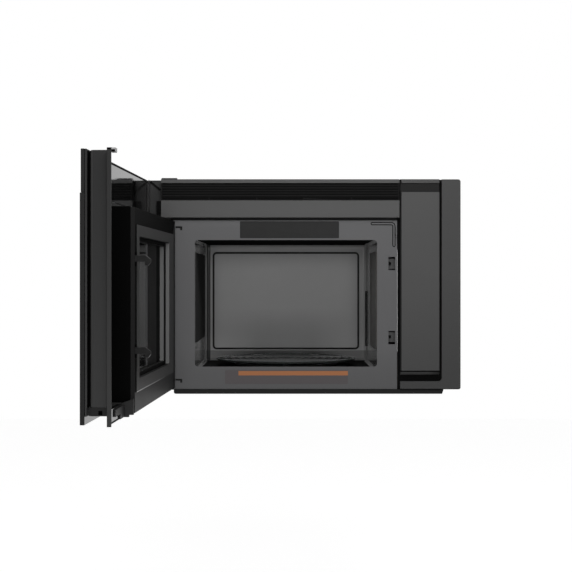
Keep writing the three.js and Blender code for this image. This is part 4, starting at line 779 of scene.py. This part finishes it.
# A narrow black band is printed round the upper pane's back, along its top and down its hinge end.
# This black is the print on the door's glass, and painted shade on the frame's walls, the plug's socket, the
# rail's foot and the block's bent edges.
print_and_shade_black = Finish("print_and_shade_black", tone(0.035), 0.7, Specular_IOR_Level=0.05)
print_and_shade_black.vary(print_and_shade_black.noise(500), 0.1, 0.05)
edge_band = bmesh.new()
band_y = -0.0586
band_thick = 0.0008
top_run = (-0.301, 0.235), (0.4111, 0.4143)
end_run = (-0.301, -0.2984), (0.3502, 0.4111)
for x, z in (top_run, end_run):
    bmesh.ops.create_cube(edge_band, size=1.0, matrix=Matrix.LocRotScale(
        (sum(x) / 2, band_y, sum(z) / 2), None, (x[1] - x[0], band_thick, z[1] - z[0])))
for vert in edge_band.verts:
    vert.co = opened(vert.co)
finished("edge_band", smooth_mesh(edge_band, "edge_band"), print_and_shade_black, "door", slot_of["door_body"])

pan_black = moulded("pan_black", tone(0.02), 0.6, 0.00002)
pan_black.put("Specular IOR Level", 0.1)
formed("door_body", pan_black, 0.0008)

ring_grey = enamel("ring_grey", tone(0.235), 0.45)
border_dark = enamel("border_dark", tone(0.12), 0.5)
recess_lit = enamel("recess_lit", tone(0.395), 0.5)
recess_shaded = enamel("recess_shaded", tone(0.14), 0.5)
field_foot_highlight = enamel("field_foot_highlight", tone(0.75), 0.5)


def along_door(look, start):
    """How far a point lies along the door, in metres from a place on it towards its free end."""
    reach = look.add("VectorMath", 1, {0: look.place, 1: door_line}, operation="DOT_PRODUCT")
    return reach - door_line.dot(opened((start, 0, 0)))


# Painted shade: the border is black at its hinge end, and the field at its free end. A painted highlight
# on the field's foot grows lighter towards the free end.
black_border_end = -0.247
black_field_start = 0.1642
foot_start = -0.15
foot_length = 0.27
border_dark.cover(along_door(border_dark, black_border_end) < 0.0, tone(0.03))
ring_grey.cover(along_door(ring_grey, black_field_start) > 0.0, tone(0.03))
highlight_share = field_foot_highlight.ramp(along_door(field_foot_highlight, foot_start), 0.0, foot_length)
field_foot_highlight.grade(highlight_share, tone(0.235), tone(0.8))
for coated in (ring_grey, border_dark, recess_lit, recess_shaded, field_foot_highlight):
    coated.put("Coat Weight", 0.0)
    coated.put("Specular IOR Level", 0.15)


window_hole = (-0.1845, 0.1405), (0.0645, 0.2905)
raised_field = (-0.2405, 0.1665), (0.0440, 0.3085)
field_face = -0.0010
border_face = -0.0024
field_foot = 0.0460


def within(point, limits):
    """Whether a point of the shut door lies between two sides and two heights."""
    (left, right), (low, high) = limits
    return left < point.x < right and low < point.z < high


def choke_paint(face):
    """The field is grey with a painted highlight along its foot, the border dark, the field's walls painted
    black as shade and the recess's ledge black.

    Of the recess's own walls, the one at the hinge end is painted as lit and the others are painted in shade.
    """
    middle = shut(face.calc_center_median())
    facing = shut_turn @ face.normal
    if within(middle, window_hole) and middle.y < field_face - 0.0002:
        if facing.y > 0.9:
            return 2
        return 3 if facing.x > 0.7 else 4
    if facing.y > 0.95:
        if middle.y < (field_face + border_face) / 2:
            return 1
        return 5 if middle.z < field_foot else 0
    return 2 if within(middle, raised_field) and middle.y > border_face - 0.0011 else 1


formed("choke_frame", [ring_grey, border_dark, print_and_shade_black, recess_lit, recess_shaded, field_foot_highlight], 0.0006,
       paint=choke_paint, levels=(UNDER_Z + field_foot,))

window = Finish("window_glass", tone(0.13), 0.03, IOR=1.5)
window.put("Roughness", 0.02 + window.noise(8) * 0.03)
window_dim = Finish("window_dim", tone(0.115), 0.5, Specular_IOR_Level=0.05)
window_dim.vary(window_dim.noise(40), 0.15, 0.05)
black_end = -0.117
dim_end = -0.020


def window_paint(face):
    """A black border is printed on the glass at the hinge end, and a dull screen is printed beside it."""
    middle = shut(face.calc_center_median())
    return 1 if middle.x < black_end else 2 if middle.x < dim_end else 0


formed("window_glass", [window, print_and_shade_black, window_dim], 0.0004, paint=window_paint,
       cuts=[(opened((end, 0, 0)), door_line) for end in (black_end, dim_end)])

screen = Finish("window_screen", tone(0.08), 0.5, Metallic=0.6)
screen.vary(screen.noise(500), 0.2, 0.1)
painted("window_screen", screen)

# ---- Door's free end -------------------------------------------------------------------------------
# An upright channel of dark slate plastic closes the door's free end. Its groove takes the fingers, and a
# plug with a square socket closes it below, beside a polished rail and a stepped block.

channel_look = moulded("channel_slate", tone(0.2), 0.5)
# Painted light: the channel grows lighter towards its foot.
painted_light_share = channel_look.ramp(channel_look.along("Z"), UNDER_Z + 0.38, UNDER_Z + 0.05)
channel_look.grade(painted_light_share, tone(0.185), tone(0.228))
channel_highlight = moulded("channel_highlight", tone(0.31), 0.5)
plug_grey = moulded("plug_grey", tone(0.155), 0.5)
block_grey = moulded("block_grey", tone(0.17), 0.5)
hook_highlight = moulded("hook_highlight", tone(0.6), 0.5)
for soft_look in (channel_look, channel_highlight, plug_grey, block_grey):
    soft_look.put("Specular IOR Level", 0.2)


hook_low = 0.4065
hook_back = -0.0189
channel_top = 0.4132
groove_depth = (-0.0557, -0.0520)
groove_end = 0.2690
slope_start = 0.262
slope_front = -0.048


def channel_paint(face):
    """The finger groove and the top rim are black. The slope beside the groove and the hook carry painted
    highlights.
    """
    middle = shut(face.calc_center_median())
    facing = shut_turn @ face.normal
    if middle.z > hook_low and middle.y > hook_back:
        return 1 if facing.x > 0.9 and middle.z < channel_top - 0.0001 else 3
    if middle.z > channel_top + 0.0001:
        return 1
    if 0.4 < facing.x < 0.95 and facing.y < -0.3 and middle.y < slope_front and middle.x > slope_start:
        return 2
    return int(groove_depth[0] < middle.y < groove_depth[1] and middle.x < groove_end)


door_depth = shut_turn.transposed() @ Vector((0, 1, 0))
formed("door_end_channel", [channel_look, print_and_shade_black, channel_highlight, hook_highlight], 0.0004, paint=channel_paint,
       levels=(UNDER_Z + channel_top,), cuts=[(opened((0, hook_back, 0)), door_depth)])

socket = Vector((0.2692, -0.0371, 0.0240))
socket_reach = 0.0033


def socket_paint(face):
    """The square socket in the plug is painted black inside, as shade."""
    offset = shut(face.calc_center_median()) - socket
    return int(abs(offset.y) < socket_reach and abs(offset.z) < socket_reach and offset.x < 0)


formed("door_end_cap", [plug_grey, print_and_shade_black], 0.0003, paint=socket_paint)
rail_gloss = Finish("rail_gloss", tone(0.1), 0.08)
rail_gloss.put("Roughness", 0.06 + rail_gloss.noise(9) * 0.04)
# The rail's lowest strip is painted black as shade.
rail_low = UNDER_Z + 0.0112
formed("door_bottom_rail", [rail_gloss, print_and_shade_black], 0.0003, levels=(rail_low,),
       paint=lambda face: int(face.calc_center_median().z < rail_low))


def bent_edge(face):
    """Only the rounded edges, painted black as shade."""
    return int(max(abs(part) for part in shut_turn @ face.normal) < 0.97)


formed("door_side_block", [block_grey, print_and_shade_black], 0.0009, 1, paint=bent_edge)

# ---- Latch -----------------------------------------------------------------------------------------
# One black moulding carries both barbed hooks. It slides up and down on a spring inside the door,
# and the hooks reach out through slots in the steel frame.

formed("door_latch", moulded("latch_black", tone(0.12), 0.35), 0.0006)
